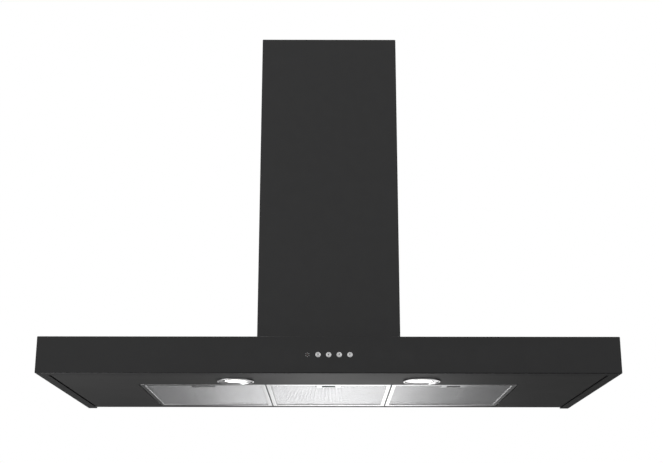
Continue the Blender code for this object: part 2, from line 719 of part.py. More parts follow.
# ------------------------------------------------------------------ lamps
def make_lamp(side, x):
    y = FRONT + LAMP_SETBACK
    centre = (x, y, FACE)
    rim = LAMP_RADIUS - SHEET
    tube_inner = LAMP_TUBE_RADIUS - LAMP_WALL
    seat = SHEET
    bezel = [
        (LAMP_RADIUS, -CLEARANCE),
        (LAMP_RADIUS, -LAMP_PROUD / 2),
        (rim, -LAMP_PROUD),
        (rim - 2 * SHEET, -LAMP_PROUD),
        (LAMP_THROAT_RADIUS, seat - SHEET),
        (LAMP_THROAT_RADIUS, seat + SHEET),
        (tube_inner, seat + SHEET),
        (tube_inner, LAMP_TUBE_HEIGHT),
        (LAMP_TUBE_RADIUS, LAMP_TUBE_HEIGHT),
        (LAMP_TUBE_RADIUS, -CLEARANCE),
    ]
    piece(f"lamp_bezel_{side}", turned(bezel, centre, "z"), "chrome", smooth=True)
    lens_low = seat + SHEET + CLEARANCE
    lens_radius = tube_inner - CLEARANCE
    lens = [
        (0, lens_low - SHEET / 2),
        (LAMP_THROAT_RADIUS - 2 * SHEET, lens_low - SHEET / 4),
        (LAMP_THROAT_RADIUS - SHEET, lens_low),
        (lens_radius, lens_low),
        (lens_radius, lens_low + LENS_THICKNESS),
        (0, lens_low + LENS_THICKNESS),
    ]
    piece(f"lamp_lens_{side}", turned(lens, centre, "z"), "lens", smooth=True)
    can_low = lens_low + LENS_THICKNESS + CLEARANCE
    fin = CAN_HEIGHT / 3
    can = [(0, can_low + LAMP_WALL), (lens_radius - LAMP_WALL, can_low + LAMP_WALL)]
    can += [(lens_radius - LAMP_WALL, can_low), (lens_radius, can_low)]
    for i in range(1, 3):
        can.append((lens_radius if i % 2 else lens_radius - LAMP_WALL, can_low + fin * i))
        can.append((lens_radius - LAMP_WALL if i % 2 else lens_radius, can_low + fin * i))
    can += [(lens_radius, can_low + CAN_HEIGHT), (0, can_low + CAN_HEIGHT)]
    piece(f"lamp_can_{side}", turned(can, centre, "z"), "aluminium", smooth=True)
    outward = math.copysign(1, x)
    make_lamp_clip(f"lamp_clip_{side}_outer", x, y, outward)
    make_lamp_clip(f"lamp_clip_{side}_inner", x, y, -outward)


def make_lamp_clip(name, x, y, way):
    """Leaf spring on the bezel's tube, which presses on the panel's upper face on the way side."""
    tube = LAMP_TUBE_RADIUS + CLEARANCE
    top = FACE + LAMP_TUBE_HEIGHT + CLEARANCE
    path = [
        (tube + CLIP_SHEET, SHELF + 4 * SHEET),
        (tube + CLIP_SHEET, top - 2 * SHEET),
        (tube + 4 * SHEET, top + 2 * SHEET),
        (tube + 12 * SHEET, SHELF + CLEARANCE + CLIP_SHEET),
        (tube + 15 * SHEET, SHELF + 2 * SHEET),
    ]
    outline = [(z, x + way * r) for r, z in folded(path, CLIP_SHEET, 2 * CLIP_SHEET)]
    piece(name, prism(outline, "y", y - CLIP_WIDTH / 2, y + CLIP_WIDTH / 2), "spring_steel")


# ------------------------------------------------------------------ controls
def make_button(name, x):
    """Collar in the front, cap with its stop flange and stem, and the return spring round the stem."""
    centre = (x, FRONT, 0)
    bore = CAP_RADIUS + CLEARANCE
    collar = [
        (bore, -COLLAR_PROUD),
        (bore, COLLAR_REAR - FRONT),
        (COLLAR_TUBE_RADIUS, COLLAR_REAR - FRONT),
        (COLLAR_TUBE_RADIUS, -CLEARANCE),
        (COLLAR_RADIUS, -CLEARANCE),
        (COLLAR_RADIUS - CLEARANCE, -COLLAR_PROUD),
    ]
    piece(f"button_collar_{name}", turned(collar, centre, "y", BUTTON_STEPS), "chrome", smooth=True)
    stop, stem = FLANGE_REAR - FRONT, HOUSING_REAR - FRONT - SHEET
    cap = [
        (0, -CAP_PROUD + CLEARANCE),
        (CAP_RADIUS / 2, -CAP_PROUD + CLEARANCE / 2),
        (CAP_RADIUS - CLEARANCE, -CAP_PROUD),
        (CAP_RADIUS, -CAP_PROUD + CLEARANCE),
        (CAP_RADIUS, CAP_REAR - FRONT),
        (FLANGE_RADIUS, CAP_REAR - FRONT),
        (FLANGE_RADIUS, stop),
        (STEM_RADIUS, stop),
        (STEM_RADIUS, stem),
        (0, stem),
    ]
    pivot = (x, FRONT - CAP_PROUD, 0)
    cap = turned(cap, centre, "y", BUTTON_STEPS)
    button = piece(f"button_{name}", cap, "chrome", pivot, smooth=True)
    room = HOUSING_REAR - HOUSING_WEB - FLANGE_REAR - 2 * CLEARANCE
    start = (x, FLANGE_REAR + CLEARANCE, 0)
    spring = coil(start, "y", STEM_RADIUS + SPRING_ROOM, SPRING_WIRE, room, SPRING_TURNS)
    piece(f"button_spring_{name}", spring, "spring_steel", pivot, button, smooth=True)


def make_control_block():
    half = BUTTON_ROW[-1] + HOUSING_HEIGHT / 2
    low, high = -HOUSING_HEIGHT / 2, HOUSING_HEIGHT / 2
    block = boxes(((-half, HOUSING_FRONT, low), (half, HOUSING_REAR, high)))
    housing = piece("button_housing", block, "black_plastic")
    well, stem = FLANGE_RADIUS + 2 * CLEARANCE, STEM_RADIUS + CLEARANCE
    step, past = HOUSING_DEPTH - HOUSING_WEB, HOUSING_DEPTH + SHEET
    profile = [(0, -SHEET), (well, -SHEET), (well, step), (stem, step), (stem, past), (0, past)]
    indicator = (INDICATOR_X, HOUSING_FRONT, 0)
    bores = rods([indicator], INDICATOR_RADIUS + CLEARANCE, "y", -SHEET, past)
    for x in BUTTON_ROW:
        add_turned(bores, profile, (x, HOUSING_FRONT, 0), "y", SMALL_STEPS)
    cut(housing, bores)
    board = boxes(((-half, BOARD_FRONT, low), (half, BOARD_FRONT + BOARD_SHEET, high)))
    board = piece("control_board", board, "board")
    size = 3 * SHEET
    front = HOUSING_REAR - SHEET + BUTTON_TRAVEL + CLEARANCE
    switches = [((x - size, front, -size), (x + size, BOARD_FRONT + SHEET, size)) for x in BUTTON_ROW]
    join(board, boxes(*switches))
    reach = BOARD_FRONT - FRONT - CLEARANCE
    lens = rods([(INDICATOR_X, FRONT, 0)], INDICATOR_RADIUS, "y", -SHEET / 2, reach)
    piece("indicator_lens", lens, "lens", smooth=True)


# ------------------------------------------------------------------ chimney
def cover_outline(inset):
    """A cover's section: front, two sides and two returns at the rear."""
    side = CHIMNEY_WIDTH / 2 - inset
    front, rear = -CHIMNEY_DEPTH + inset, -CLEARANCE - inset
    end = CHIMNEY_WIDTH / 2 - CHIMNEY_RETURN
    path = [(-end, rear), (-side, rear), (-side, front), (side, front), (side, rear), (end, rear)]
    return folded(path, SHEET, CHIMNEY_BEND - (SHEET if inset else 0))


def make_chimney():
    lower = prism(cover_outline(0), "z", CHIMNEY_BASE, CHIMNEY_TOP)
    piece("chimney_lower", lower, "black_paint", smooth=True)
    low, high = CHIMNEY_BASE + UPPER_LIFT, CHIMNEY_TOP - UPPER_TOP_GAP
    pivot = (0, -CHIMNEY_DEPTH / 2, low)
    upper = prism(cover_outline(COVER_INSET), "z", low, high)
    upper = piece("chimney_upper", upper, "black_paint", pivot, smooth=True)
    reach = CHIMNEY_WIDTH
    middle = -CHIMNEY_DEPTH / 2
    vents = []
    for i in range(VENT_COUNT):
        z = high - BRACKET_HEIGHT - VENT_PITCH * (i + 1)
        vents.append(
            ((-reach, middle - VENT_LENGTH / 2, z), (reach, middle + VENT_LENGTH / 2, z + VENT_HEIGHT))
        )
    cut(upper, boxes(*vents))
    inner = COVER_INSIDE - CLEARANCE
    rear = -CLEARANCE - COVER_INSET - SHEET - CLEARANCE
    ear = rear - BRACKET_HEIGHT
    path = [(-inner, ear), (-inner, rear), (inner, rear), (inner, ear)]
    outline = folded(path[::-1], SHEET, CHIMNEY_BEND)
    top = high - SHEET
    bracket = prism(outline, "z", top - BRACKET_HEIGHT, top)
    bracket = piece("chimney_bracket", bracket, "zinc", pivot, upper)
    holes = [(x, rear, top - BRACKET_HEIGHT / 2) for x in (-inner / 2, inner / 2)]
    cut(bracket, rods(holes, RAIL_FOLD, "y", -2 * SHEET, 2 * SHEET))


# ------------------------------------------------------------------ blower
def make_blower_box():
    outer = boxes(((-BOX_SIDE, BOX_FRONT, BOX_BASE), (BOX_SIDE, BOX_REAR, BOX_TOP)))
    box = piece("blower_box", outer, "zinc")
    flange = boxes(
        (
            (-BOX_SIDE, BOX_FRONT - BLOWER_FLANGE, BOX_BASE),
            (BOX_SIDE, BOX_REAR + BLOWER_FLANGE, BOX_BASE + SHEET),
        )
    )
    join(box, flange)
    inside = boxes(
        (
            (-BOX_SIDE + SHEET, BOX_FRONT + SHEET, BOX_BASE - SHEET),
            (BOX_SIDE - SHEET, BOX_REAR - SHEET, BOX_TOP - SHEET),
        )
    )
    outlet = boxes(
        (
            (-SCROLL_HALF + SCROLL_WALL, BLOWER_Y, BOX_TOP - 2 * SHEET),
            (SCROLL_HALF - SCROLL_WALL, BLOWER_Y + OUTLET_WIDTH, BOX_TOP + SHEET),
        )
    )
    cut(box, inside, outlet)


def scroll_outline(offset, top):
    """The scroll's section: a spiral from the outlet's rear wall, under the wheel, to the tongue."""
    outline = [(BLOWER_Y + OUTLET_WIDTH + offset, top)]
    for i in range(SCROLL_STEPS + 1):
        share = i / SCROLL_STEPS
        angle = -SCROLL_TURN * share
        radius = SCROLL_BASE_RADIUS + SCROLL_GROWTH * (1 - share) + offset
        outline.append((BLOWER_Y + radius * math.cos(angle), BLOWER_Z + radius * math.sin(angle)))
    outline[-1] = (BLOWER_Y - offset, outline[-1][1])
    outline.append((BLOWER_Y - offset, top))
    return outline


def make_scroll_half(name, way):
    """One half of the blower's scroll, open at the joint, at its inlet and at the top."""
    top = BOX_TOP - SHEET - CLEARANCE
    joint, end = way * CLEARANCE / 2, way * SCROLL_HALF
    half = piece(name, prism(scroll_outline(SCROLL_WALL, top), "x", joint, end), "black_plastic")
    inside_end = way * (SCROLL_HALF - SCROLL_WALL)
    inside = prism(scroll_outline(0, top + SHEET), "x", -way * SHEET, inside_end)
    start, stop = sorted((way * SCROLL_HALF / 2, way * (SCROLL_HALF + SHEET)))
    inlet = rods([(0, BLOWER_Y, BLOWER_Z)], INLET_RADIUS, "x", start, stop, FINE_STEPS)
    cut(half, inside, inlet)


def make_impeller():
    """Double-inlet wheel: hub and web in the middle, a ring at each end and blades between."""
    centre = (0, BLOWER_Y, BLOWER_Z)
    half = SCROLL_HALF - SCROLL_WALL - IMPELLER_SIDE_GAP
    web = IMPELLER_RING / 2
    bore = SHAFT_RADIUS + SHAFT_CLEARANCE
    hub = [
        (bore, -HUB_RADIUS),
        (HUB_RADIUS, -HUB_RADIUS),
        (HUB_RADIUS, -web),
        (IMPELLER_RADIUS - BLADE_DEPTH / 2, -web),
        (IMPELLER_RADIUS - BLADE_DEPTH / 2, web),
        (bore, web),
    ]
    wheel = piece("impeller", turned(hub, centre, "x"), "black_plastic", centre, smooth=True)
    blades = bmesh.new()
    for i in range(BLADE_COUNT):
        outline = []
        for shift in (0, BLADE_SHEET):
            side = []
            for step in range(BLADE_STEPS + 1):
                share = step / BLADE_STEPS
                radius = BLADE_INNER + SHEET / 2 + (BLADE_DEPTH - SHEET) * share
                angle = 2 * math.pi * i / BLADE_COUNT + shift / radius + BLADE_SWEEP * share**2
                y, z = BLOWER_Y + radius * math.cos(angle), BLOWER_Z + radius * math.sin(angle)
                side.append((y, z))
            outline += side if shift == 0 else side[::-1]
        add_prism(blades, outline, "x", -half + SHEET, half - SHEET)
    rings = bmesh.new()
    for low, high in ((-half, -half + IMPELLER_RING), (half - IMPELLER_RING, half)):
        inner, outer = BLADE_INNER, IMPELLER_RADIUS
        ring = [(inner, low), (outer, low), (outer, high), (inner, high)]
        add_turned(rings, ring, centre, "x", FINE_STEPS)
    join(wheel, blades, rings)


def make_motor():
    """Motor inside the right half of the wheel, with its shaft through the wheel's hub."""
    centre = (0, BLOWER_Y, BLOWER_Z)
    start = IMPELLER_RING * 3
    end = start + MOTOR_LENGTH
    body = [
        (0, -HUB_RADIUS - SHEET),
        (SHAFT_RADIUS, -HUB_RADIUS - SHEET),
        (SHAFT_RADIUS, start),
        (MOTOR_RADIUS - 4 * SHEET, start),
        (MOTOR_RADIUS, start + 4 * SHEET),
        (MOTOR_RADIUS, end - 4 * SHEET),
        (MOTOR_RADIUS - 4 * SHEET, end),
        (0, end),
    ]
    piece("motor", turned(body, centre, "x"), "zinc", smooth=True)
    low = SCROLL_HALF + CLEARANCE
    high = low + BRACKET_SHEET
    inner, outer = MOTOR_RADIUS + CLEARANCE, MOTOR_RADIUS + 3 * SHEET
    ring = [(inner, low), (outer, low), (outer, high), (inner, high)]
    bracket = piece("motor_bracket", turned(ring, centre, "x"), "zinc")
    arms = []
    reach = INLET_RADIUS + HUB_RADIUS
    for i in range(BRACKET_ARMS):
        angle = math.pi / 2 + 2 * math.pi * i / BRACKET_ARMS
        along = Vector((math.cos(angle), math.sin(angle)))
        across = Vector((-along.y, along.x)) * HUB_RADIUS / 2
        hub = Vector((BLOWER_Y, BLOWER_Z))
        start_at, end_at = hub + along * (outer - SHEET), hub + along * reach
        outline = [start_at - across, end_at - across, end_at + across, start_at + across]
        arms.append(prism(outline, "x", low, high))
    join(bracket, *arms)


# ------------------------------------------------------------------ outlet
def make_outlet_ring():
    """Duct collar on the blower box, with a ledge that the closed flaps rest on."""
    centre = (0, DUCT_Y, DUCT_BASE)
    side = DUCT_RADIUS + DUCT_FLANGE_MARGIN
    flange = boxes(
        ((-side, DUCT_Y - side, DUCT_BASE), (side, DUCT_Y + side, DUCT_BASE + DUCT_FLANGE_SHEET))
    )
    ring = piece("outlet_ring", flange, "black_plastic")
    collar = [(0, 0), (DUCT_RADIUS, 0), (DUCT_RADIUS, DUCT_HEIGHT), (0, DUCT_HEIGHT)]
    join(ring, turned(collar, centre, "z", DUCT_STEPS))
    ledge_top = FLAP_HEIGHT - FLAP_SHEET / 2 - CLEARANCE
    bore = [
        (0, -SHEET),
        (DUCT_BORE, -SHEET),
        (DUCT_BORE, ledge_top - FLAP_LEDGE),
        (DUCT_BORE - FLAP_LEDGE, ledge_top - SHEET),
        (DUCT_BORE - FLAP_LEDGE, ledge_top),
        (DUCT_BORE, ledge_top),
        (DUCT_BORE, DUCT_HEIGHT + SHEET),
        (0, DUCT_HEIGHT + SHEET),
    ]
    reach = 2 * DUCT_RADIUS
    pin_hole = rods([(0, DUCT_Y, PIN_Z)], PIN_RADIUS + CLEARANCE, "x", -reach, reach)
    cut(ring, turned(bore, centre, "z", DUCT_STEPS), pin_hole)


def make_flap(name, way):
    """Half-round flap that turns on the pin: way is -1 for the front one and 1 for the rear one."""
    radius = DUCT_BORE - FLAP_EDGE_GAP
    root = KNUCKLE_RADIUS + SHEET
    start = math.asin(root / radius)
    outline = []
    for i in range(FLAP_STEPS + 1):
        angle = start + (math.pi - 2 * start) * i / FLAP_STEPS
        outline.append((radius * math.cos(angle), DUCT_Y + way * radius * math.sin(angle)))
    half = FLAP_SHEET / 2
    pivot = (0, DUCT_Y, PIN_Z)
    flap = piece(name, prism(outline, "z", PIN_Z - half, PIN_Z + half), "grey_plastic", pivot)
    knuckles, webs = bmesh.new(), []
    for x in (-way * KNUCKLE_X[0], way * KNUCKLE_X[1]):
        low, high = x - KNUCKLE_WIDTH / 2, x + KNUCKLE_WIDTH / 2
        profile = [(0, low), (KNUCKLE_RADIUS, low), (KNUCKLE_RADIUS, high), (0, high)]
        add_turned(knuckles, profile, pivot, "x", SMALL_STEPS)
        near, far = sorted((DUCT_Y, DUCT_Y + way * (root + SHEET)))
        webs.append(((low, near, PIN_Z - half), (high, far, PIN_Z + half)))
    join(flap, boxes(*webs), knuckles)
    reach = 2 * DUCT_RADIUS
    cut(flap, rods([pivot], PIN_RADIUS + CLEARANCE, "x", -reach, reach))


def make_outlet():
    make_outlet_ring()
    make_flap("flap_front", -1)
    make_flap("flap_rear", 1)
    length = DUCT_RADIUS - SHEET
    pin = rods([(0, DUCT_Y, PIN_Z)], PIN_RADIUS, "x", -length, length)
    piece("flap_pin", pin, "spring_steel", smooth=True)


# ------------------------------------------------------------------ wiring
def make_wiring():
    """Wiring box under the canopy's top, its lid, the capacitor inside it and the cable gland."""
    wide, deep, tall = WIRING_BOX
    x, y = -SIDE + WIRING_SIDE_SETBACK, FRONT / 2
    high = ROOF - CLEARANCE
    low = high - tall
    left, right, near, far = x - wide / 2, x + wide / 2, y - deep / 2, y + deep / 2
    wall = WIRING_WALL
    box = piece("wiring_box", boxes(((left, near, low), (right, far, high))), "grey_plastic")
    inside = boxes(((left + wall, near + wall, low - wall), (right - wall, far - wall, high - wall)))
    gland_centre = (0, y, (low + high) / 2)
    hole = rods([gland_centre], GLAND_RADIUS + CLEARANCE, "x", left - wall, left + 2 * wall)
    cut(box, inside, hole)
    lid_top = low - CLEARANCE
    lid = boxes(((left, near, lid_top - wall), (right, far, lid_top)))
    lid = piece("wiring_lid", lid, "grey_plastic")
    rim = wall + CLEARANCE
    rib = (left + rim, near + rim, lid_top - wall / 2), (right - rim, far - rim, lid_top + wall)
    join(lid, boxes(rib))
    bore = GLAND_RADIUS / 2
    nut = GLAND_RADIUS + 2 * wall
    gland = [
        (bore, left - 5 * wall),
        (GLAND_RADIUS, left - 5 * wall),
        (nut, left - 4 * wall),
        (nut, left - CLEARANCE),
        (GLAND_RADIUS, left - CLEARANCE),
        (GLAND_RADIUS, left + 3 * wall),
        (bore, left + 3 * wall),
    ]
    piece("cable_gland", turned(gland, gland_centre, "x", SMALL_STEPS), "black_plastic", smooth=True)
    centre = [(x, y, (low + high) / 2)]
    start, end = -CAPACITOR_LENGTH / 2, CAPACITOR_LENGTH / 2
    can = rods(centre, CAPACITOR_RADIUS, "x", start, end, FINE_STEPS)
    piece("capacitor", can, "white_plastic", smooth=True)


def main():
    clear_scene()
    make_canopy_shell()
    make_back_plate()
    make_wall_rail()
    make_underside_panel()
    make_cross_rail("cross_rail_left", -FILTER_PITCH / 2)
    make_cross_rail("cross_rail_right", FILTER_PITCH / 2)
    make_filters()
    make_lamp("left", -LAMP_X)
    make_lamp("right", LAMP_X)
    for name, x in zip(BUTTON_NAMES, BUTTON_ROW):
        make_button(name, x)
    make_control_block()
    make_chimney()
    make_blower_box()
    make_scroll_half("scroll_left", -1)
    make_scroll_half("scroll_right", 1)
    make_impeller()
    make_motor()
    make_outlet()
    make_wiring()


main()
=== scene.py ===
"""Looks of a wall-mounted range hood: folded and painted steel, mesh grease filters, lamps and controls.

Metres, +Z up. The wall is the plane Y = 0 and the hood's front faces -Y. Left and right are as seen
from the front. Every piece is built round the frame's own boxes and rides on one of its bodies.
"""

import math

import bmesh
import bpy
from mathutils import Matrix, Vector


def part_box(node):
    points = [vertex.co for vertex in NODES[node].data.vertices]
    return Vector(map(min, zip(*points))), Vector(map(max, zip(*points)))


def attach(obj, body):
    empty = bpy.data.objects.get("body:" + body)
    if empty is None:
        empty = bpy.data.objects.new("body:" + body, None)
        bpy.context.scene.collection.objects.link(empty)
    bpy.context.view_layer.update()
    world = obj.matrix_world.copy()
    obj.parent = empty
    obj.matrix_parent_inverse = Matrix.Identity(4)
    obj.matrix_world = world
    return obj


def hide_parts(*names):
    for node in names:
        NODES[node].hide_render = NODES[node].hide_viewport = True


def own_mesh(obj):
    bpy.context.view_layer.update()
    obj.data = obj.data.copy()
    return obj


bl_info = {
    "name": "Wall Range Hood",
    "version": (1, 0, 0),
    "blender": (4, 5, 0),
    "location": "View3D > Sidebar > Range Hood",
    "description": "Builds the visible pieces of a wall-mounted range hood on its packed frame",
    "category": "Object",
}

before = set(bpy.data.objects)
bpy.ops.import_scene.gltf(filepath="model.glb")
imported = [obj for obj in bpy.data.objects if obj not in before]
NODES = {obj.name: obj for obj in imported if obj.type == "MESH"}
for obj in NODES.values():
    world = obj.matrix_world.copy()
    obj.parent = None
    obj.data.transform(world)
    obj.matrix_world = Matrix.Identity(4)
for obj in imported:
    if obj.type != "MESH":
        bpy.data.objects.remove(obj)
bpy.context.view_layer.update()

SIDES = ("left", "middle", "right")
LAMP_SIDES = ("left", "right")
BUTTONS = ("light", "speed_low", "speed_medium", "speed_high")
CENTRE = Vector((0, 0, 0))
SMOOTH_ANGLE = 32
PANEL_FACE = -0.034
PANEL_TOP = -0.033
TAB_LENGTH = 0.008
FILTER_WALL = 0.0008


# ------------------------------------------------------------------ settings
def length(name, description, default):
    return bpy.props.FloatProperty(
        name=name, description=description, default=default, min=0, precision=5, unit="LENGTH"
    )


def colour(name, description, default):
    return bpy.props.FloatVectorProperty(
        name=name, description=description, default=default, size=3, min=0, max=1, subtype="COLOR"
    )


class HoodSizes(bpy.types.PropertyGroup):
    """Sizes of the details that the looks add to the frame"""

    sheet: length("Sheet", "Thickness of the painted steel", 0.001)
    canopy_fold: length("Canopy fold", "Outer radius of the canopy's folded edges", 0.0016)
    cover_fold: length("Cover fold", "Outer radius of the chimney covers' corners", 0.003)
    soft_edge: length("Soft edge", "Radius of a cut sheet's edge", 0.00025)
    bar_edge: length("Bar edge", "Radius of the filter bars' outer edges", 0.0005)
    diamond_width: length("Diamond width", "Long way of one opening in the filter mesh", 0.0060)
    diamond_depth: length("Diamond depth", "Short way of one opening in the filter mesh", 0.0040)
    strand: length("Strand", "Width of a strand of the filter mesh", 0.00077)
    screw: length("Screw", "Radius of a pan-head screw", 0.0035)
    rivet: length("Rivet", "Radius of a rivet's head", 0.0018)


class HoodColours(bpy.types.PropertyGroup):
    """Colours and finishes of the hood"""

    canopy: colour("Canopy", "Paint of the canopy", (0.0135, 0.0135, 0.014))
    # The chimney's paint is the canopy's black made lighter: painted light that makes up for the shade the
    # canopy casts on the covers' lower part.
    chimney: colour("Chimney", "Paint of the chimney covers", (0.0175, 0.0175, 0.018))
    underside: colour("Underside", "Enamel of the underside", (0.012, 0.012, 0.012))
    aluminium: colour("Aluminium", "Filter frames", (0.97, 0.97, 0.975))
    mesh: colour("Mesh", "Filter mesh", (0.72, 0.72, 0.73))
    zinc: colour("Zinc", "Galvanised sheet", (0.55, 0.57, 0.59))
    lamp: colour("Lamp", "Light of the lamps", (1.0, 0.985, 0.95))
    paint_roughness: bpy.props.FloatProperty(
        name="Paint roughness", description="Roughness of the satin paint", default=0.46,
        min=0, max=1, subtype="FACTOR",
    )
    enamel_roughness: bpy.props.FloatProperty(
        name="Enamel roughness", description="Roughness of the underside's enamel", default=0.47,
        min=0, max=1, subtype="FACTOR",
    )


class HoodStage(bpy.types.PropertyGroup):
    """Camera, floor and lights"""

    lens: bpy.props.FloatProperty(name="Lens", description="Focal length", default=61.70, unit="CAMERA")
    camera_place: bpy.props.FloatVectorProperty(
        name="Camera", description="Place of the camera", default=(0.0001, -2.6132, -0.3769),
        subtype="TRANSLATION",
    )
    camera_turn: bpy.props.FloatVectorProperty(
        name="Camera turn", description="Pitch above the horizon, roll and turn to the left",
        default=(math.radians(16.303), math.radians(-0.032), math.radians(-0.147)), subtype="EULER",
    )
    floor_drop: length("Floor drop", "From the frame's origin down to the floor", 1.60)
    floor_radius: length("Floor radius", "Radius of the round floor", 4.5)
    glow: bpy.props.FloatProperty(
        name="Glow", description="Brightness of the soft patch low behind the hood", default=1.9, min=0,
    )
    fill: bpy.props.FloatProperty(
        name="Fill", description="Brightness of the room in front of the hood", default=0.62, min=0,
    )


# ------------------------------------------------------------------ shapes
AXES = {
    "x": (Vector((0, 1, 0)), Vector((0, 0, 1)), Vector((1, 0, 0))),
    "y": (Vector((0, 0, 1)), Vector((1, 0, 0)), Vector((0, 1, 0))),
    "z": (Vector((1, 0, 0)), Vector((0, 1, 0)), Vector((0, 0, 1))),
}


def add_prism(bm, outline, axis, start, end):
    """Adds a closed outline run along an axis: (y, z) points for x, (z, x) for y and (x, y) for z."""
    across, up, along = AXES[axis]
    low = [bm.verts.new(across * a + up * b + along * start) for a, b in outline]
    high = [bm.verts.new(across * a + up * b + along * end) for a, b in outline]
    bm.faces.new(low)
    bm.faces.new(high)
    for i, corner in enumerate(low):
        after = (i + 1) % len(low)
        bm.faces.new((corner, low[after], high[after], high[i]))


def prism(outline, axis, start, end):
    bm = bmesh.new()
    add_prism(bm, outline, axis, start, end)
    return bm


def boxes(*corners):
    bm = bmesh.new()
    for low, high in corners:
        outline = [(low[0], low[1]), (high[0], low[1]), (high[0], high[1]), (low[0], high[1])]
        add_prism(bm, outline, "z", low[2], high[2])
    return bm


def add_turned(bm, profile, centre, axis, steps):
    """Adds a solid of revolution from (radius, height) points, closed on the axis or as a ring."""
    across, up, along = AXES[axis]
    centre = Vector(centre)
    rings = []
    for radius, height in profile:
        base = centre + along * height
        if radius == 0:
            rings.append([bm.verts.new(base)])
            continue
        angles = [2 * math.pi * (i + 0.5) / steps for i in range(steps)]
        spokes = [across * math.cos(a) + up * math.sin(a) for a in angles]
        rings.append([bm.verts.new(base + spoke * radius) for spoke in spokes])
    pairs = list(zip(rings, rings[1:]))
    if profile[0][0] > 0:
        pairs.append((rings[-1], rings[0]))
    for first, second in pairs:
        for i in range(steps):
            after = (i + 1) % steps
            corners = [first[i % len(first)], first[after % len(first)]]
            corners += [second[after % len(second)], second[i % len(second)]]
            bm.faces.new(list(dict.fromkeys(corners)))


def turned(profile, centre, axis, steps=64):
    bm = bmesh.new()
    add_turned(bm, profile, centre, axis, steps)
    return bm


def folded(path, thickness, bend, steps=6):
    """The closed outline of a sheet bent along a path of its right-hand face's corners."""
    points = [Vector(p) for p in path]
    near, far = [], []
    for i, corner in enumerate(points):
        before = (corner - points[i - 1]).normalized() if i else (points[1] - corner).normalized()
        after = (points[i + 1] - corner).normalized() if i + 1 < len(points) else before
        turn = math.atan2(before.cross(after), before.dot(after))
        left = Vector((-before.y, before.x))
        if abs(turn) < 1e-6:
            near.append(corner)
            far.append(corner + left * thickness)
            continue
        side = math.copysign(1, turn)
        radius = bend if side > 0 else bend - thickness
        centre = corner - before * radius * math.tan(abs(turn) / 2) + left * side * radius
        for step in range(steps + 1):
            spoke = Matrix.Rotation(turn * step / steps, 2) @ (-left * side)
            near.append(centre + spoke * radius)
            far.append(centre + spoke * (radius - side * thickness))
    return near + far[::-1]


def arc(centre, radius, start, end, steps):
    """Points on an arc, with angles in degrees from the first axis towards the second."""
    points = []
    for step in range(steps + 1):
        turn = math.radians(start + (end - start) * step / steps)
        points.append((centre[0] + radius * math.cos(turn), centre[1] + radius * math.sin(turn)))
    return points


def soften(bm, radius, steps=2, least=35):
    """Rounds every edge where two faces meet at more than the least angle, in degrees."""
    bmesh.ops.recalc_face_normals(bm, faces=bm.faces)
    limit = math.radians(least)
    edges = [e for e in bm.edges if e.is_manifold and e.calc_face_angle(0) > limit]
    bmesh.ops.bevel(
        bm,
        geom=edges,
        offset=radius,
        offset_type="OFFSET",
        segments=steps,
        profile=0.5,
        affect="EDGES",
        clamp_overlap=True,
    )
    return bm


def mesh_of(name, bm):
    bmesh.ops.recalc_face_normals(bm, faces=bm.faces)
    mesh = bpy.data.meshes.new(name)
    bm.to_mesh(mesh)
    bm.free()
    mesh.shade_smooth()
    mesh.set_sharp_from_angle(angle=math.radians(SMOOTH_ANGLE))
    return mesh


def piece(name, bm, material, body, replaced=()):
    """A visible piece that rides on a body and may stand for nodes of the frame."""
    thing = bpy.data.objects.new(name, mesh_of(name, bm))
    thing.data.materials.append(MATERIALS[material])
    bpy.context.scene.collection.objects.link(thing)
    level = thing.modifiers.new("level faces", "WEIGHTED_NORMAL")
    level.keep_sharp = True
    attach(thing, body)
    if replaced:
        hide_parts(*replaced)
    return thing


def cut(bm, *cutters):
    """The shape with each cutter's shape taken out of it."""
    names = [f"cutting_{i}" for i in range(len(cutters) + 1)]
    things = [bpy.data.objects.new(n, mesh_of(n, b)) for n, b in zip(names, (bm, *cutters))]
    for thing in things:
        bpy.context.scene.collection.objects.link(thing)
    for cutter in things[1:]:
        boolean = things[0].modifiers.new("cut", "BOOLEAN")
        boolean.object = cutter
        boolean.operation = "DIFFERENCE"
        boolean.solver = "EXACT"
    shown = things[0].evaluated_get(bpy.context.evaluated_depsgraph_get())
    left = bmesh.new()
    left.from_mesh(shown.to_mesh())
    shown.to_mesh_clear()
    for thing in things:
        mesh = thing.data
        bpy.data.objects.remove(thing)
        bpy.data.meshes.remove(mesh)
    return left


def node_shape(name):
    """A frame node's shape with its flat faces made whole, ready to be softened."""
    bm = bmesh.new()
    bm.from_mesh(NODES[name].data)
    bmesh.ops.remove_doubles(bm, verts=bm.verts, dist=1e-6)
    bmesh.ops.dissolve_limit(bm, angle_limit=math.radians(0.5), verts=bm.verts, edges=bm.edges)
    return bm


def softened_node(name, new_name, material, body, radius=None, least=35):
    """A piece that stands for a frame node, with that node's shape and rounded edges."""
    sizes = bpy.context.scene.hood_sizes
    bm = soften(node_shape(name), radius or sizes.soft_edge, least=least)
    return piece(new_name, bm, material, body, [name])


def dress(name, material):
    """Gives a frame node that is shown as it is its finish."""
    thing = NODES[name]
    thing.data.materials.clear()
    thing.data.materials.append(MATERIALS[material])


# ------------------------------------------------------------------ shader groups
def add(tree, kind, options=None, inputs=None):
    """Adds a shader node, sets its options, and sets or links its inputs by name or number."""
    made = tree.nodes.new(kind)
    for key, value in (options or {}).items():
        setattr(made, key, value)
    for key, value in (inputs or {}).items():
        if isinstance(value, bpy.types.NodeSocket):
            tree.links.new(value, made.inputs[key])
        else:
            made.inputs[key].default_value = value
    return made


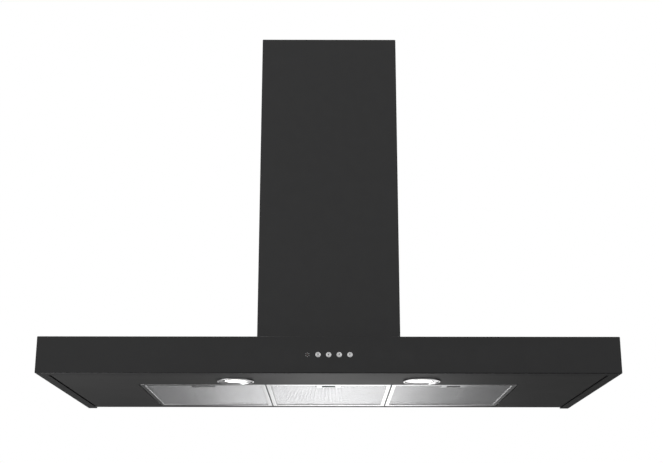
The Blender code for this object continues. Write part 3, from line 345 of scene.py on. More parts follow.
def group(name, inputs, outputs):
    """A new shader group with float inputs (name, default) and outputs named in order."""
    tree = bpy.data.node_groups.new(name, "ShaderNodeTree")
    for label, kind, default in inputs:
        socket = tree.interface.new_socket(label, in_out="INPUT", socket_type=kind)
        socket.default_value = default
    for label in outputs:
        tree.interface.new_socket(label, in_out="OUTPUT", socket_type="NodeSocketFloat")
    return tree, tree.nodes.new("NodeGroupInput"), tree.nodes.new("NodeGroupOutput")


def place(tree):
    return add(tree, "ShaderNodeTexCoord").outputs["Object"]


def calculated(tree, operation, first, second, clamp=False):
    options = {"operation": operation, "use_clamp": clamp}
    return add(tree, "ShaderNodeMath", options, {0: first, 1: second}).outputs[0]


def vectors(tree, operation, first, second):
    return add(tree, "ShaderNodeVectorMath", {"operation": operation}, {0: first, 1: second}).outputs[0]


def ratio(tree, size):
    """One over a size, which is a texture's scale."""
    return calculated(tree, "DIVIDE", 1.0, size)


def noise(tree, where, size, detail, roughness=0.5):
    """Noise whose features are about as large as a size that a group is given."""
    inputs = {"Vector": where, "Scale": ratio(tree, size), "Detail": detail, "Roughness": roughness}
    return add(tree, "ShaderNodeTexNoise", {}, inputs).outputs["Fac"]


def spread(tree, value, low, high, start=0.0, end=1.0):
    """A value from start to end stretched to run from low to high."""
    inputs = {"Value": value, "From Min": start, "From Max": end, "To Min": low, "To Max": high}
    return add(tree, "ShaderNodeMapRange", {}, inputs).outputs["Result"]


def grain_group():
    """Fine grain of a coat or moulding, with wide soft patches over it."""
    tree, given, result = group(
        "Fine grain",
        [("Size", "NodeSocketFloat", 0.001), ("Patch size", "NodeSocketFloat", 0.15)],
        ["Height", "Patch"],
    )
    fine = noise(tree, place(tree), given.outputs["Size"], 3.0, 0.6)
    wide = noise(tree, place(tree), given.outputs["Patch size"], 4.0, 0.55)
    tree.links.new(fine, result.inputs["Height"])
    tree.links.new(spread(tree, wide, 0.0, 1.0, 0.3, 0.7), result.inputs["Patch"])
    return tree


def brushed_group():
    """Brush marks: noise drawn out along the direction whose stretch is the smallest."""
    tree, given, result = group(
        "Brush marks",
        [("Stretch", "NodeSocketVector", (1.0, 1.0, 1.0)), ("Size", "NodeSocketFloat", 0.0006)],
        ["Height", "Shade"],
    )
    drawn = vectors(tree, "MULTIPLY", place(tree), given.outputs["Stretch"])
    lines = noise(tree, drawn, given.outputs["Size"], 4.0, 0.7)
    tree.links.new(lines, result.inputs["Height"])
    tree.links.new(spread(tree, lines, 0.0, 1.0, 0.3, 0.7), result.inputs["Shade"])
    return tree


def spangle_group():
    """Crystals of a galvanised sheet: each cell has its own shade."""
    tree, given, result = group("Zinc spangle", [("Size", "NodeSocketFloat", 0.008)], ["Shade", "Height"])
    inputs = {"Vector": place(tree), "Scale": ratio(tree, given.outputs["Size"]), "Randomness": 1.0}
    cells = add(tree, "ShaderNodeTexVoronoi", {}, inputs)
    tone = add(tree, "ShaderNodeSeparateColor", {}, {"Color": cells.outputs["Color"]})
    tree.links.new(tone.outputs[0], result.inputs["Shade"])
    tree.links.new(cells.outputs["Distance"], result.inputs["Height"])
    return tree


def edge_wear_and_highlight_group():
    """Where edges and corners stand proud, broken up by noise."""
    tree, given, result = group(
        "Edge wear and painted highlight", [("Amount", "NodeSocketFloat", 0.5), ("Patch size", "NodeSocketFloat", 0.02)], ["Mask"]
    )
    # Paint uses this mask for a painted highlight along proud edges and folds; brushed metal is drawn
    # lighter and mouldings smoother along it.
    bend = add(tree, "ShaderNodeNewGeometry").outputs["Pointiness"]
    edge = spread(tree, bend, 0.0, 1.0, 0.515, 0.60)
    patch = noise(tree, place(tree), given.outputs["Patch size"], 3.0)
    broken = calculated(tree, "MULTIPLY", edge, spread(tree, patch, 0.35, 1.0, 0.3, 0.65))
    mask = calculated(tree, "MULTIPLY", broken, given.outputs["Amount"], clamp=True)
    tree.links.new(mask, result.inputs["Mask"])
    return tree


GROUPS = {}


def effect(tree, name, **values):
    """Places a shared group in a material with its own values."""
    makers = {"grain": grain_group, "brushed": brushed_group, "spangle": spangle_group, "edge_wear_and_highlight": edge_wear_and_highlight_group}
    if name not in GROUPS:
        GROUPS[name] = makers[name]()
    used = add(tree, "ShaderNodeGroup", {"node_tree": GROUPS[name]})
    for key, value in values.items():
        used.inputs[key.replace("_", " ").capitalize()].default_value = value
    return used.outputs


# ------------------------------------------------------------------ materials
MATERIALS = {}


def bare_material(name, roughness, metallic, **constants):
    """A material with its constant values set on the shader itself."""
    made = bpy.data.materials.new(name)
    made.use_nodes = True
    shader = made.node_tree.nodes["Principled BSDF"]
    shader.inputs["Roughness"].default_value = roughness
    shader.inputs["Metallic"].default_value = metallic
    for key, value in constants.items():
        shader.inputs[key.replace("_", " ")].default_value = value
    MATERIALS[name] = made
    return made.node_tree, shader


def tinted(tree, mask, dark, light):
    """A colour between two, by a mask; each of the two is a colour or a socket."""
    ends = [c if isinstance(c, bpy.types.NodeSocket) else (*c, 1.0) for c in (dark, light)]
    inputs = {0: mask, 6: ends[0], 7: ends[1]}
    return add(tree, "ShaderNodeMix", {"data_type": "RGBA"}, inputs).outputs[2]


def bump(tree, shader, height, distance):
    made = add(tree, "ShaderNodeBump", {}, {"Height": height, "Distance": distance, "Strength": 1.0})
    tree.links.new(made.outputs["Normal"], shader.inputs["Normal"])


def scaled(tone, factor):
    return tuple(min(1.0, c * factor) for c in tone)


def paint(name, tone, roughness, grain, depth, edge_wear_and_highlight, bending=1.45):
    """Powder coat: fine orange peel, slow changes of gloss and a painted highlight, lighter paint along
    proud edges.
    """
    tree, shader = bare_material(name, roughness, 0.0, IOR=bending)
    fine = effect(tree, "grain", size=grain, patch_size=0.22)
    edge_wear_and_highlight_mask = effect(tree, "edge_wear_and_highlight", amount=edge_wear_and_highlight, patch_size=0.03)
    body = tinted(tree, fine["Patch"], scaled(tone, 0.93), scaled(tone, 1.07))
    # Proud edges are painted lighter: a painted highlight where the folds catch light.
    edged = tinted(tree, edge_wear_and_highlight_mask["Mask"], body, scaled(tone, 2.2))
    tree.links.new(edged, shader.inputs["Base Color"])
    gloss = spread(tree, fine["Patch"], roughness - 0.03, roughness + 0.03)
    tree.links.new(gloss, shader.inputs["Roughness"])
    bump(tree, shader, fine["Height"], depth)


def brushed_metal(name, tone, roughness, stretch, size, depth, edge_wear_and_highlight=0.3):
    """Metal with brush marks along one direction and brighter edges."""
    tree, shader = bare_material(name, roughness, 1.0)
    marks = effect(tree, "brushed", stretch=stretch, size=size)
    edge_wear_and_highlight_mask = effect(tree, "edge_wear_and_highlight", amount=edge_wear_and_highlight, patch_size=0.01)
    body = tinted(tree, marks["Shade"], scaled(tone, 0.88), tone)
    edged = tinted(tree, edge_wear_and_highlight_mask["Mask"], body, scaled(tone, 1.12))
    tree.links.new(edged, shader.inputs["Base Color"])
    gloss = spread(tree, marks["Shade"], roughness - 0.05, roughness + 0.07)
    tree.links.new(gloss, shader.inputs["Roughness"])
    bump(tree, shader, marks["Height"], depth)


def plain_metal(name, tone, roughness, grain, depth):
    """Cast, drawn or polished metal with a fine grain and slow changes of gloss."""
    tree, shader = bare_material(name, roughness, 1.0)
    fine = effect(tree, "grain", size=grain, patch_size=0.05)
    body = tinted(tree, fine["Patch"], scaled(tone, 0.95), tone)
    tree.links.new(body, shader.inputs["Base Color"])
    low, high = roughness * 0.92, roughness * 1.10
    tree.links.new(spread(tree, fine["Patch"], low, high), shader.inputs["Roughness"])
    bump(tree, shader, fine["Height"], depth)


def moulding(name, tone, roughness, grain, depth, edge_wear_and_highlight=0.25):
    """Moulded plastic with a spark-eroded grain and edges rubbed a little smoother."""
    tree, shader = bare_material(name, roughness, 0.0, IOR=1.47)
    fine = effect(tree, "grain", size=grain, patch_size=0.04)
    edge_wear_and_highlight_mask = effect(tree, "edge_wear_and_highlight", amount=edge_wear_and_highlight, patch_size=0.01)
    body = tinted(tree, fine["Patch"], scaled(tone, 0.92), scaled(tone, 1.06))
    tree.links.new(body, shader.inputs["Base Color"])
    tree.links.new(spread(tree, edge_wear_and_highlight_mask["Mask"], roughness, roughness - 0.18), shader.inputs["Roughness"])
    bump(tree, shader, fine["Height"], depth)


def galvanised(name, tone):
    """Zinc-coated sheet with its crystals."""
    tree, shader = bare_material(name, 0.45, 1.0)
    cells = effect(tree, "spangle", size=0.009)
    fine = effect(tree, "grain", size=0.0008, patch_size=0.1)
    body = tinted(tree, cells["Shade"], scaled(tone, 0.82), scaled(tone, 1.10))
    tree.links.new(body, shader.inputs["Base Color"])
    tree.links.new(spread(tree, cells["Shade"], 0.36, 0.54), shader.inputs["Roughness"])
    bump(tree, shader, fine["Height"], 0.00002)


def lamp_glass(name, tone):
    """Frosted cover with small prisms, lit from behind."""
    tree, shader = bare_material(name, 0.35, 0.0, IOR=1.5, Emission_Strength=3.2)
    cells = effect(tree, "spangle", size=0.0016)
    fine = effect(tree, "grain", size=0.0006, patch_size=0.012)
    glow = tinted(tree, fine["Patch"], scaled(tone, 0.9), tone)
    tree.links.new(glow, shader.inputs["Emission Color"])
    body = tinted(tree, cells["Shade"], (0.86, 0.86, 0.84), (0.94, 0.94, 0.92))
    tree.links.new(body, shader.inputs["Base Color"])
    bump(tree, shader, cells["Height"], 0.0002)


def smoked_lens(name):
    """Indicator's dark lens, with the moulded ridges of its inner face showing."""
    tree, shader = bare_material(name, 0.12, 0.0, IOR=1.5, Coat_Weight=0.6, Coat_Roughness=0.05)
    fine = effect(tree, "grain", size=0.0004, patch_size=0.002)
    body = tinted(tree, fine["Patch"], (0.050, 0.022, 0.020), (0.085, 0.050, 0.046))
    tree.links.new(body, shader.inputs["Base Color"])
    bump(tree, shader, fine["Height"], 0.00002)


def circuit_board(name):
    """Solder mask with tracks under it."""
    tree, shader = bare_material(name, 0.32, 0.0, IOR=1.5)
    laid = {"Vector": place(tree), "Scale": 240.0, "Mortar Size": 0.03}
    tracks = add(tree, "ShaderNodeTexBrick", {"offset": 0.5}, laid)
    fine = effect(tree, "grain", size=0.0007, patch_size=0.02)
    mask = tinted(tree, fine["Patch"], (0.012, 0.085, 0.035), (0.020, 0.120, 0.050))
    track = tinted(tree, tracks.outputs["Fac"], mask, (0.06, 0.24, 0.11))
    tree.links.new(track, shader.inputs["Base Color"])
    bump(tree, shader, tracks.outputs["Fac"], 0.00003)


def make_materials():
    tones = bpy.context.scene.hood_colours
    paint("canopy paint", tones.canopy, tones.paint_roughness, 0.0011, 0.000012, 0.5)
    # The chimney paint's lighter tone is painted light, against the shade the canopy casts below the
    # covers.
    paint("chimney paint lightened against shade", tones.chimney, tones.paint_roughness, 0.0011, 0.000012, 0.5)
    paint("underside enamel", tones.underside, tones.enamel_roughness, 0.0016, 0.000008, 0.3, 1.56)
    along_x, along_y = (0.02, 1.0, 1.0), (1.0, 0.02, 1.0)
    brushed_metal("filter bar across", tones.aluminium, 0.22, along_x, 0.0007, 0.000015)
    brushed_metal("filter bar along", tones.aluminium, 0.22, along_y, 0.0007, 0.000015)
    plain_metal("filter mesh", tones.mesh, 0.24, 0.0005, 0.000004)
    plain_metal("filter core", tones.mesh, 0.38, 0.0012, 0.00002)
    moulding("latch moulding", (0.46, 0.46, 0.47), 0.42, 0.0006, 0.00002)
    brushed_metal("spring steel", (0.52, 0.53, 0.55), 0.26, along_x, 0.0004, 0.000006)
    plain_metal("chrome", (0.93, 0.93, 0.935), 0.16, 0.004, 0.000002)
    plain_metal("button metal", (0.92, 0.92, 0.925), 0.28, 0.0002, 0.000004)
    moulding("button enamel", (0.05, 0.05, 0.052), 0.34, 0.0004, 0.000004)
    lamp_glass("lamp glass", tones.lamp)
    plain_metal("lamp casting", (0.68, 0.68, 0.69), 0.42, 0.0008, 0.00006)
    galvanised("galvanised sheet", tones.zinc)
    brushed_metal("motor steel", (0.44, 0.45, 0.47), 0.36, (1.0, 0.05, 0.05), 0.0008, 0.00001)
    plain_metal("screw zinc", (0.62, 0.62, 0.60), 0.30, 0.0005, 0.00001)
    moulding("black moulding", (0.018, 0.018, 0.019), 0.46, 0.0008, 0.00003)
    moulding("grey moulding", (0.30, 0.31, 0.32), 0.44, 0.0008, 0.00003)
    moulding("white moulding", (0.74, 0.74, 0.72), 0.40, 0.0008, 0.00002)
    circuit_board("circuit board")
    smoked_lens("smoked lens")


# ------------------------------------------------------------------ canopy
def make_canopy():
    """Canopy of folded sheet: rounded outer edges, lips below with returns, mitred corners."""
    sizes = bpy.context.scene.hood_sizes
    sheet, fold = sizes.sheet, sizes.canopy_fold
    low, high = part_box("canopy_shell")
    pan_low, pan_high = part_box("underside_panel")
    return_top = pan_high.z - sheet - 0.0003
    bm = boxes((low, high))
    front_edges = [e for e in bm.edges if any(v.co.y < high.y - sheet for v in e.verts)]
    front_edges = [e for e in front_edges if not all(abs(v.co.y - high.y) < sheet for v in e.verts)]
    bmesh.ops.bevel(bm, geom=front_edges, offset=fold, segments=6, profile=0.5, affect="EDGES")
    side, past = high.x - sheet, 0.07
    front_lip, box_flange, margin = 0.025, 0.010, 0.015
    collar_hole, lens_hole = 0.0044, 0.0019
    seam, seam_start, seam_past, seam_depth = 0.00018, 0.004, 0.001, 0.35
    front = low.y + sheet
    lip_side, lip_front = 0.530, low.y + front_lip
    cavity = boxes(((-side, front, return_top), (side, past, high.z - sheet)))
    channel = prism(
        [
            (-side, past),
            (-side, front),
            (side, front),
            (side, past),
            (lip_side + sheet, past),
            (lip_side + sheet, lip_front - sheet),
            (-lip_side - sheet, lip_front - sheet),
            (-lip_side - sheet, past),
        ],
        "z",
        low.z + sheet,
        return_top + sheet,
    )
    mouth = boxes(((-lip_side, lip_front, low.z - sheet), (lip_side, past, return_top + sheet)))
    box_low, box_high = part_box("blower_box")
    intake = boxes(
        (
            (box_low.x + margin, box_low.y + box_flange + margin, high.z - 2 * sheet),
            (box_high.x - margin, box_high.y - box_flange - margin, high.z + sheet),
        )
    )
    holes = bmesh.new()
    for name in BUTTONS:
        ring_low, ring_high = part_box(f"button_collar_{name}")
        add_hole(holes, (ring_low.x + ring_high.x) / 2, low.y, collar_hole)
    lens_low, lens_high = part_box("indicator_lens")
    add_hole(holes, (lens_low.x + lens_high.x) / 2, low.y, lens_hole)
    seams = bmesh.new()
    for way in (-1, 1):
        corner, inner = Vector((way * high.x, low.y)), Vector((way * lip_side, lip_front))
        along = (inner - corner).normalized()
        across = Vector((-along.y, along.x)) * seam
        start, end = corner + along * seam_start, inner + along * seam_past
        outline = [start - across, end - across, end + across, start + across]
        add_prism(seams, outline, "z", low.z - sheet, low.z + sheet * seam_depth)
    shell = cut(bm, cavity, channel, mouth, intake, holes, seams)
    piece("canopy_folded", shell, "canopy paint", "hood", ["canopy_shell"])


def add_hole(bm, x, y, radius):
    add_turned(bm, [(0, -0.002), (radius, -0.002), (radius, 0.003), (0, 0.003)], (x, y, 0), "y", 32)


def make_underside():
    softened_node(
        "underside_panel", "underside_pan", "underside enamel", "hood", 0.0004
    )


# ------------------------------------------------------------------ filters
def bar_section(width, height, wall, edge):
    """A filter bar's section, a channel open inwards: (distance from the outer face, height) points."""
    lip, bend = 0.0016, 0.0007
    points = [(width, lip), (width - wall, lip), (width - wall, wall), (wall, wall), (wall, height - wall)]
    points += [(width, height - wall), (width, height)]
    points += arc((edge, height - edge), edge, 90, 180, 4)
    points += arc((edge, edge), edge, 180, 270, 4)
    return points + arc((width - bend, bend), bend, 270, 360, 4)


def add_bar(bm, corner, along, inward, base, length, widths, height, wall, edge):
    """Adds one mitred bar from a corner of the frame; widths are its own and its two neighbours'."""
    own, first, last = widths
    gap = 0.00012
    start, end = [], []
    for inset, z in bar_section(own, height, wall, edge):
        reach = min(1, inset / own)
        middle = corner + inward * inset
        start.append(bm.verts.new((*(middle + along * (reach * first + gap)), base + z)))
        end.append(bm.verts.new((*(middle + along * (length - reach * last - gap)), base + z)))
    bm.faces.new(start)
    bm.faces.new(end)
    for i in range(len(start)):
        after = (i + 1) % len(start)
        bm.faces.new((start[i], start[after], end[after], end[i]))


def make_filter_bars(side, low, high):
    """The filter's four mitred bars and its two rear tabs."""
    sizes = bpy.context.scene.hood_sizes
    rear = high.y - TAB_LENGTH
    height, wall = high.z - low.z, FILTER_WALL
    side_bar, front_bar, rear_bar = 0.009, 0.013, 0.016
    wide, deep = high.x - low.x, rear - low.y
    right, back = Vector((1, 0)), Vector((0, 1))
    edge = sizes.bar_edge
    across = bmesh.new()
    front_widths = (front_bar, side_bar, side_bar)
    rear_widths = (rear_bar, side_bar, side_bar)
    side_widths = (side_bar, front_bar, rear_bar)
    add_bar(across, Vector((low.x, low.y)), right, back, low.z, wide, front_widths, height, wall, edge)
    add_bar(across, Vector((low.x, rear)), right, -back, low.z, wide, rear_widths, height, wall, edge)
    along = bmesh.new()
    add_bar(along, Vector((low.x, low.y)), back, right, low.z, deep, side_widths, height, wall, edge)
    add_bar(along, Vector((high.x, low.y)), back, -right, low.z, deep, side_widths, height, wall, edge)
    tab_low = PANEL_TOP + 0.0003
    tab_place, tab_half, tab_tip, tab_slope, tab_sheet = 0.080, 0.010, 0.007, 0.003, 0.001
    middle = (low.x + high.x) / 2
    for x in (middle - tab_place, middle + tab_place):
        tab = [(x - tab_half, rear - wall), (x + tab_half, rear - wall), (x + tab_half, high.y - tab_slope)]
        tab += [(x + tab_tip, high.y), (x - tab_tip, high.y), (x - tab_half, high.y - tab_slope)]
        add_prism(across, tab, "z", tab_low, tab_low + tab_sheet)
    body = f"filter_{side}"
    piece(f"filter_bars_across_{side}", across, "filter bar across", body,
          [f"filter_frame_{side}"])
    piece(f"filter_bars_along_{side}", along, "filter bar along", body)
    return low.x + side_bar, high.x - side_bar, low.y + front_bar, rear - rear_bar


def expanded_sheet(left, right, near, far, base, coarse):
    """Expanded mesh: zigzag strands, flat below with a sloping front edge, that meet at every bend."""
    sizes = bpy.context.scene.hood_sizes
    columns = 2 * round((right - left) / (sizes.diamond_width * coarse))
    rows = 2 * round((far - near) / (sizes.diamond_depth * coarse))
    step, pitch = (right - left) / columns, (far - near) / rows
    half, thick, slope, reach = sizes.strand / 2, 0.00015, 0.00017, 0.47
    section = ((-half, thick), (slope - half, 0), (half, 0), (half, thick))
    corners = [Vector((0, y, z)) for y, z in section]
    bm = bmesh.new()
    for row in range(rows):
        sections = []
        for column in range(columns + 1):
            swing = reach if (column + row) % 2 else -reach
            y = min(max(near + pitch * (row + 0.5 + swing), near + sizes.strand), far - sizes.strand)
            middle = Vector((left + step * column, y, base))
            sections.append([bm.verts.new(middle + corner) for corner in corners])
        bm.faces.new(sections[0])
        bm.faces.new(sections[-1])
        for one, two in zip(sections, sections[1:]):
            for i in range(4):
                after = (i + 1) % 4
                bm.faces.new((one[i], one[after], two[after], two[i]))
    return bm


def make_filter_mesh(side, window, low, high):
    """Two sheets of expanded mesh, cut away at the latch, with the corrugated core between them."""
    left, right, near, far = window
    tuck = 0.003
    middle = (left + right) / 2
    tray_half, tray_end = 0.0245, low.y + 0.0372
    body = f"filter_{side}"
    for level, base, coarse in (("lower", low.z + 0.0016, 1), ("upper", high.z - 0.0018, 2)):
        sheet = expanded_sheet(left - tuck, right + tuck, near - tuck, far + tuck, base, coarse)
        spare = [v for v in sheet.verts if abs(v.co.x - middle) < tray_half and v.co.y < tray_end]
        bmesh.ops.delete(sheet, geom=spare, context="VERTS")
        bmesh.ops.holes_fill(sheet, edges=[e for e in sheet.edges if e.is_boundary], sides=4)
        piece(f"filter_sheet_{level}_{side}", sheet, "filter mesh", body)
    core = node_shape(f"filter_mesh_{side}")
    node_base, core_base, core_share = 0.0011, 0.0024, 0.66
    for vertex in core.verts:
        vertex.co.z = low.z + core_base + (vertex.co.z - low.z - node_base) * core_share
    piece(f"filter_core_{side}", core, "filter core", body, [f"filter_mesh_{side}"])


def make_latch(side, low, middle):
    """Tray in the front bar, the slider with its finger slot, and the spring strip in two pieces."""
    wall, half, deep, room = FILTER_WALL, 0.0241, 0.0367, 0.0001
    mouth_half, mouth_near, mouth_far = 0.0137, 0.013, 0.0343
    top = low.z + 0.009
    outer = boxes((
        (middle - half, low.y + wall, low.z + room),
        (middle + half, low.y + deep, top - room),
    ))
    inner = boxes((
        (middle - half + wall, low.y, low.z + wall),
        (middle + half - wall, low.y + deep - wall, top - wall),
    ))
    mouth = boxes((
        (middle - mouth_half, low.y + mouth_near, low.z - wall),
        (middle + mouth_half, low.y + mouth_far, low.z + 2 * wall),
    ))
    body = f"filter_{side}"
    tray = soften(cut(outer, inner, mouth), 0.0002)
    piece(f"latch_tray_{side}", tray, "filter bar across", body)
    softened_node(
        f"filter_latch_{side}", f"latch_slider_{side}", "latch moulding", f"latch_{side}",
        0.0004,
    )
    strip_low, strip_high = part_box(f"latch_spring_{side}")
    slider_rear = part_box(f"filter_latch_{side}")[1].y
    thick, strip, bow_share = 0.0005, 0.006, 0.8
    under = strip_high.z - 0.0005
    opening_front, hook = -0.353, 0.002
    edge = opening_front - hook
    tongue = folded(
        [(strip_low.y, strip_low.z), (edge, strip_low.z), (edge, under), (slider_rear, under)], thick, 0.001
    )
    tongue = prism(tongue, "x", middle - strip, middle + strip)
    piece(f"latch_tongue_{side}", tongue, "spring steel", f"latch_{side}",
          [f"latch_spring_{side}"])
    lowest = low.z + 0.002
    rear = strip_high.y
    bow_gap, bow_slope, bow_bend = 0.0002, 0.0020, 0.0012
    bow = [(slider_rear + bow_gap, under), (slider_rear + bow_slope, lowest)]
    bow += [(rear - bow_slope, lowest), (rear, under)]
    bow = folded(bow, thick * bow_share, bow_bend)
    bow = prism(bow, "x", middle - strip, middle + strip)
    bow = piece(f"latch_bow_{side}", bow, "spring steel", body)
    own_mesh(bow)


def make_filters():
    for side in SIDES:
        low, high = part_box(f"filter_frame_{side}")
        window = make_filter_bars(side, low, high)
        make_filter_mesh(side, window, low, high)
        make_latch(side, low, (low.x + high.x) / 2)


# ------------------------------------------------------------------ lamps
def make_lamps():
    """Chrome rings with a shallow dish, lit covers, and the castings and clips above the panel."""
    for side in LAMP_SIDES:
        low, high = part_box(f"lamp_bezel_{side}")
        centre = Vector(((low.x + high.x) / 2, (low.y + high.y) / 2, PANEL_FACE))
        outer = (high.y - low.y) / 2 / math.cos(math.pi / 24)
        tube, seat = 0.0285, 0.0265
        profile = [(outer, -0.0003)]
        profile += arc((outer - 0.0009, -0.0016), 0.0009, 0, -90, 6)
        profile += arc((outer - 0.0026, -0.0017), 0.0008, -90, -165, 4)
        profile += [(outer - 0.0038, -0.0014), (seat, -0.0012), (0.0222, -0.0013)]
        profile += arc((0.0208, -0.0008), 0.0008, -70, -180, 5)
        profile += [(0.0200, 0.0020), (seat, 0.0020), (seat, 0.0140), (tube, 0.0140), (tube, -0.0003)]
        piece(f"lamp_ring_{side}", turned(profile, centre, "z", 96), "chrome", "hood",
              [f"lamp_bezel_{side}"])
        glass = arc((0, 0.0748), 0.0765, -90, -76, 10)
        glass += [(0.0195, -0.0002), (0.0195, 0.0023), (0.0262, 0.0023), (0.0262, 0.0043), (0, 0.0043)]
        piece(f"lamp_glass_{side}", turned(glass, centre, "z", 64), "lamp glass", "hood",
              [f"lamp_lens_{side}"])
        dress(f"lamp_can_{side}", "lamp casting")
        for place_name in ("inner", "outer"):
            clip = f"lamp_clip_{side}_{place_name}"
            softened_node(clip, f"lamp_spring_{side}_{place_name}", "spring steel", "hood",
                          0.0001)


# ------------------------------------------------------------------ controls
def mark_outlines(name):
    """Flat (z, x) outlines of a button's mark: a disc with rays for the light, bars for the speeds."""
    if name == "light":
        outlines = [[(0.00055 * math.sin(t), 0.00055 * math.cos(t)) for t in turns(16)]]
        for ray in range(6):
            turn = 2 * math.pi * ray / 6
            along = Vector((math.sin(turn), math.cos(turn)))
            across = Vector((math.cos(turn), -math.sin(turn)))
            near, far, half = along * 0.00085, along * 0.00125, across * 0.00009
            outlines.append([near - half, far - half, far + half, near + half])
        return outlines
    count = ("speed_low", "speed_medium", "speed_high").index(name) + 1
    pitch, half, foot = 0.00062, 0.00017, -0.0008
    outlines = []
    for i in range(count):
        x = (i - (count - 1) / 2) * pitch
        tall = 0.00045 + 0.00022 * i
        outlines.append([(foot, x - half), (foot, x + half), (tall, x + half), (tall, x - half)])
    return outlines


def turns(steps):
    return [2 * math.pi * i / steps for i in range(steps)]


def coil(start, end, x, radius, wire, count):
    """A coil spring along Y round a button's stem."""
    bm = bmesh.new()
    rings = []
    sides, along = 8, Vector((0, 1, 0))
    steps = 20 * count
    for i in range(steps + 1):
        turn = 2 * math.pi * count * i / steps
        outward = Vector((math.sin(turn), 0, math.cos(turn)))
        y = start + wire + (end - start - 2 * wire) * i / steps
        middle = Vector((x, y, 0)) + outward * radius
        spokes = [outward * math.cos(a) + along * math.sin(a) for a in turns(sides)]
        rings.append([bm.verts.new(middle + spoke * wire) for spoke in spokes])
    for first, second in zip(rings, rings[1:]):
        for s in range(sides):
            after = (s + 1) % sides
            bm.faces.new((first[s], first[after], second[after], second[s]))
    bm.faces.new(rings[0])
    bm.faces.new(rings[-1])
    return bm


def make_controls():
    """Four ring buttons with their marks, the indicator, and the block and board behind them."""
    proud, stem, press, coil_radius, wire = 0.0010, 0.0018, 0.002, 0.0030, 0.0003
    for name in BUTTONS:
        low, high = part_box(f"button_collar_{name}")
        x = (low.x + high.x) / 2
        face = (x, low.y + proud, 0)
        collar = [(0.0035, -0.0006), (0.0037, -0.0009)]
        collar += arc((0.0046, -0.0006), 0.0004, 225, 315, 4)
        collar += [(0.0050, -0.0003), (0.0041, -0.0003), (0.0041, 0.0040), (0.0035, 0.0040)]
        piece(f"collar_{name}", turned(collar, face, "y", 48), "chrome", "hood",
              [f"button_collar_{name}"])
        cap = [(0, -0.00135), (0.0016, -0.00135), (0.0017, -0.00150), (0.0024, -0.00175)]
        cap += arc((0.0029, -0.0015), 0.0003, 250, 360, 5)
        cap += [(0.0032, 0.0043), (0.0045, 0.0043), (0.0045, 0.0055)]
        cap += [(stem, 0.0055), (stem, 0.0125), (0, 0.0125)]
        body = f"button_{name}"
        piece(f"cap_{name}", turned(cap, face, "y", 48), "button metal", body,
              [f"button_{name}"])
        disc = [(0, -0.00138), (0.00155, -0.00138), (0.00155, -0.00130), (0, -0.00130)]
        piece(f"cap_disc_{name}", turned(disc, face, "y", 32), "button enamel", body)
        marks = bmesh.new()
        for outline in mark_outlines(name):
            moved = [(z, x + across) for z, across in outline]
            add_prism(marks, moved, "y", face[1] - 0.00142, face[1] - 0.00134)
        piece(f"cap_mark_{name}", marks, "button metal", body)
        start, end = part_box(f"button_spring_{name}")
        spring = coil(start.y, end.y, x, coil_radius, wire, 4)
        spring = piece(f"cap_spring_{name}", spring, "spring steel", "hood",
                       [f"button_spring_{name}"])
        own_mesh(spring)
    softened_node("button_housing", "control_block", "black moulding", "hood", 0.0004)
    softened_node("control_board", "control_circuit", "circuit board", "hood", 0.00015)
    dress("indicator_lens", "smoked lens")
    low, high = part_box("indicator_lens")
    face = ((low.x + high.x) / 2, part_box("canopy_shell")[0].y, 0)
    dots = bmesh.new()
    ring, dot = 0.0034, 0.00050
    bead = [(0, -0.00022), (0.00044, -0.00018), (dot, 0), (dot, 0.0004), (0, 0.0004)]
    for turn in turns(6):
        at = (face[0] + ring * math.sin(turn), face[1], ring * math.cos(turn))
        add_turned(dots, bead, at, "y", 12)
    piece("indicator_dots", dots, "chrome", "hood")


# ------------------------------------------------------------------ chimney
def cover(name):
    """A cover's section from its box: front, two sides and two returns at the rear."""
    sizes = bpy.context.scene.hood_sizes
    low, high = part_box(name)
    returned = 0.135
    path = [(-returned, high.y), (low.x, high.y), (low.x, low.y), (high.x, low.y), (high.x, high.y)]
    path.append((returned, high.y))
    fold = sizes.cover_fold if name == "chimney_lower" else sizes.cover_fold - sizes.sheet
    return prism(folded(path, sizes.sheet, fold, 8), "z", low.z, high.z), low, high


def add_slot(bm, y, z, half_length, half_height, reach):
    """Adds a round-ended slot that passes through both sides."""
    outline = []
    for way, start in ((1, -math.pi / 2), (-1, math.pi / 2)):
        for step in range(9):
            turn = start + math.pi * step / 8
            middle = y + way * (half_length - half_height)
            outline.append((middle + half_height * math.cos(turn), z + half_height * math.sin(turn)))
    add_prism(bm, outline, "x", -reach, reach)


def make_chimney():
    """Two telescopic covers, the upper one with its vents, and the ceiling bracket."""
    sizes = bpy.context.scene.hood_sizes
    lower = cover("chimney_lower")[0]
    piece("lower_cover", soften(lower, sizes.soft_edge), "chimney paint lightened against shade", "hood",
          ["chimney_lower"])
    upper, low, high = cover("chimney_upper")
    slots = bmesh.new()
    middle = (low.y + high.y) / 2
    first, pitch, half_length, half_height, reach = 0.030, 0.014, 0.060, 0.0025, 0.3
    for i in range(4):
        z = high.z - first - pitch * (i + 1) + half_height
        add_slot(slots, middle, z, half_length, half_height, reach)
    piece("upper_cover", soften(cut(upper, slots), 0.0002), "chimney paint lightened against shade", "chimney_upper",
          ["chimney_upper"])
    softened_node("chimney_bracket", "ceiling_bracket", "galvanised sheet", "chimney_upper",
                  0.0002)


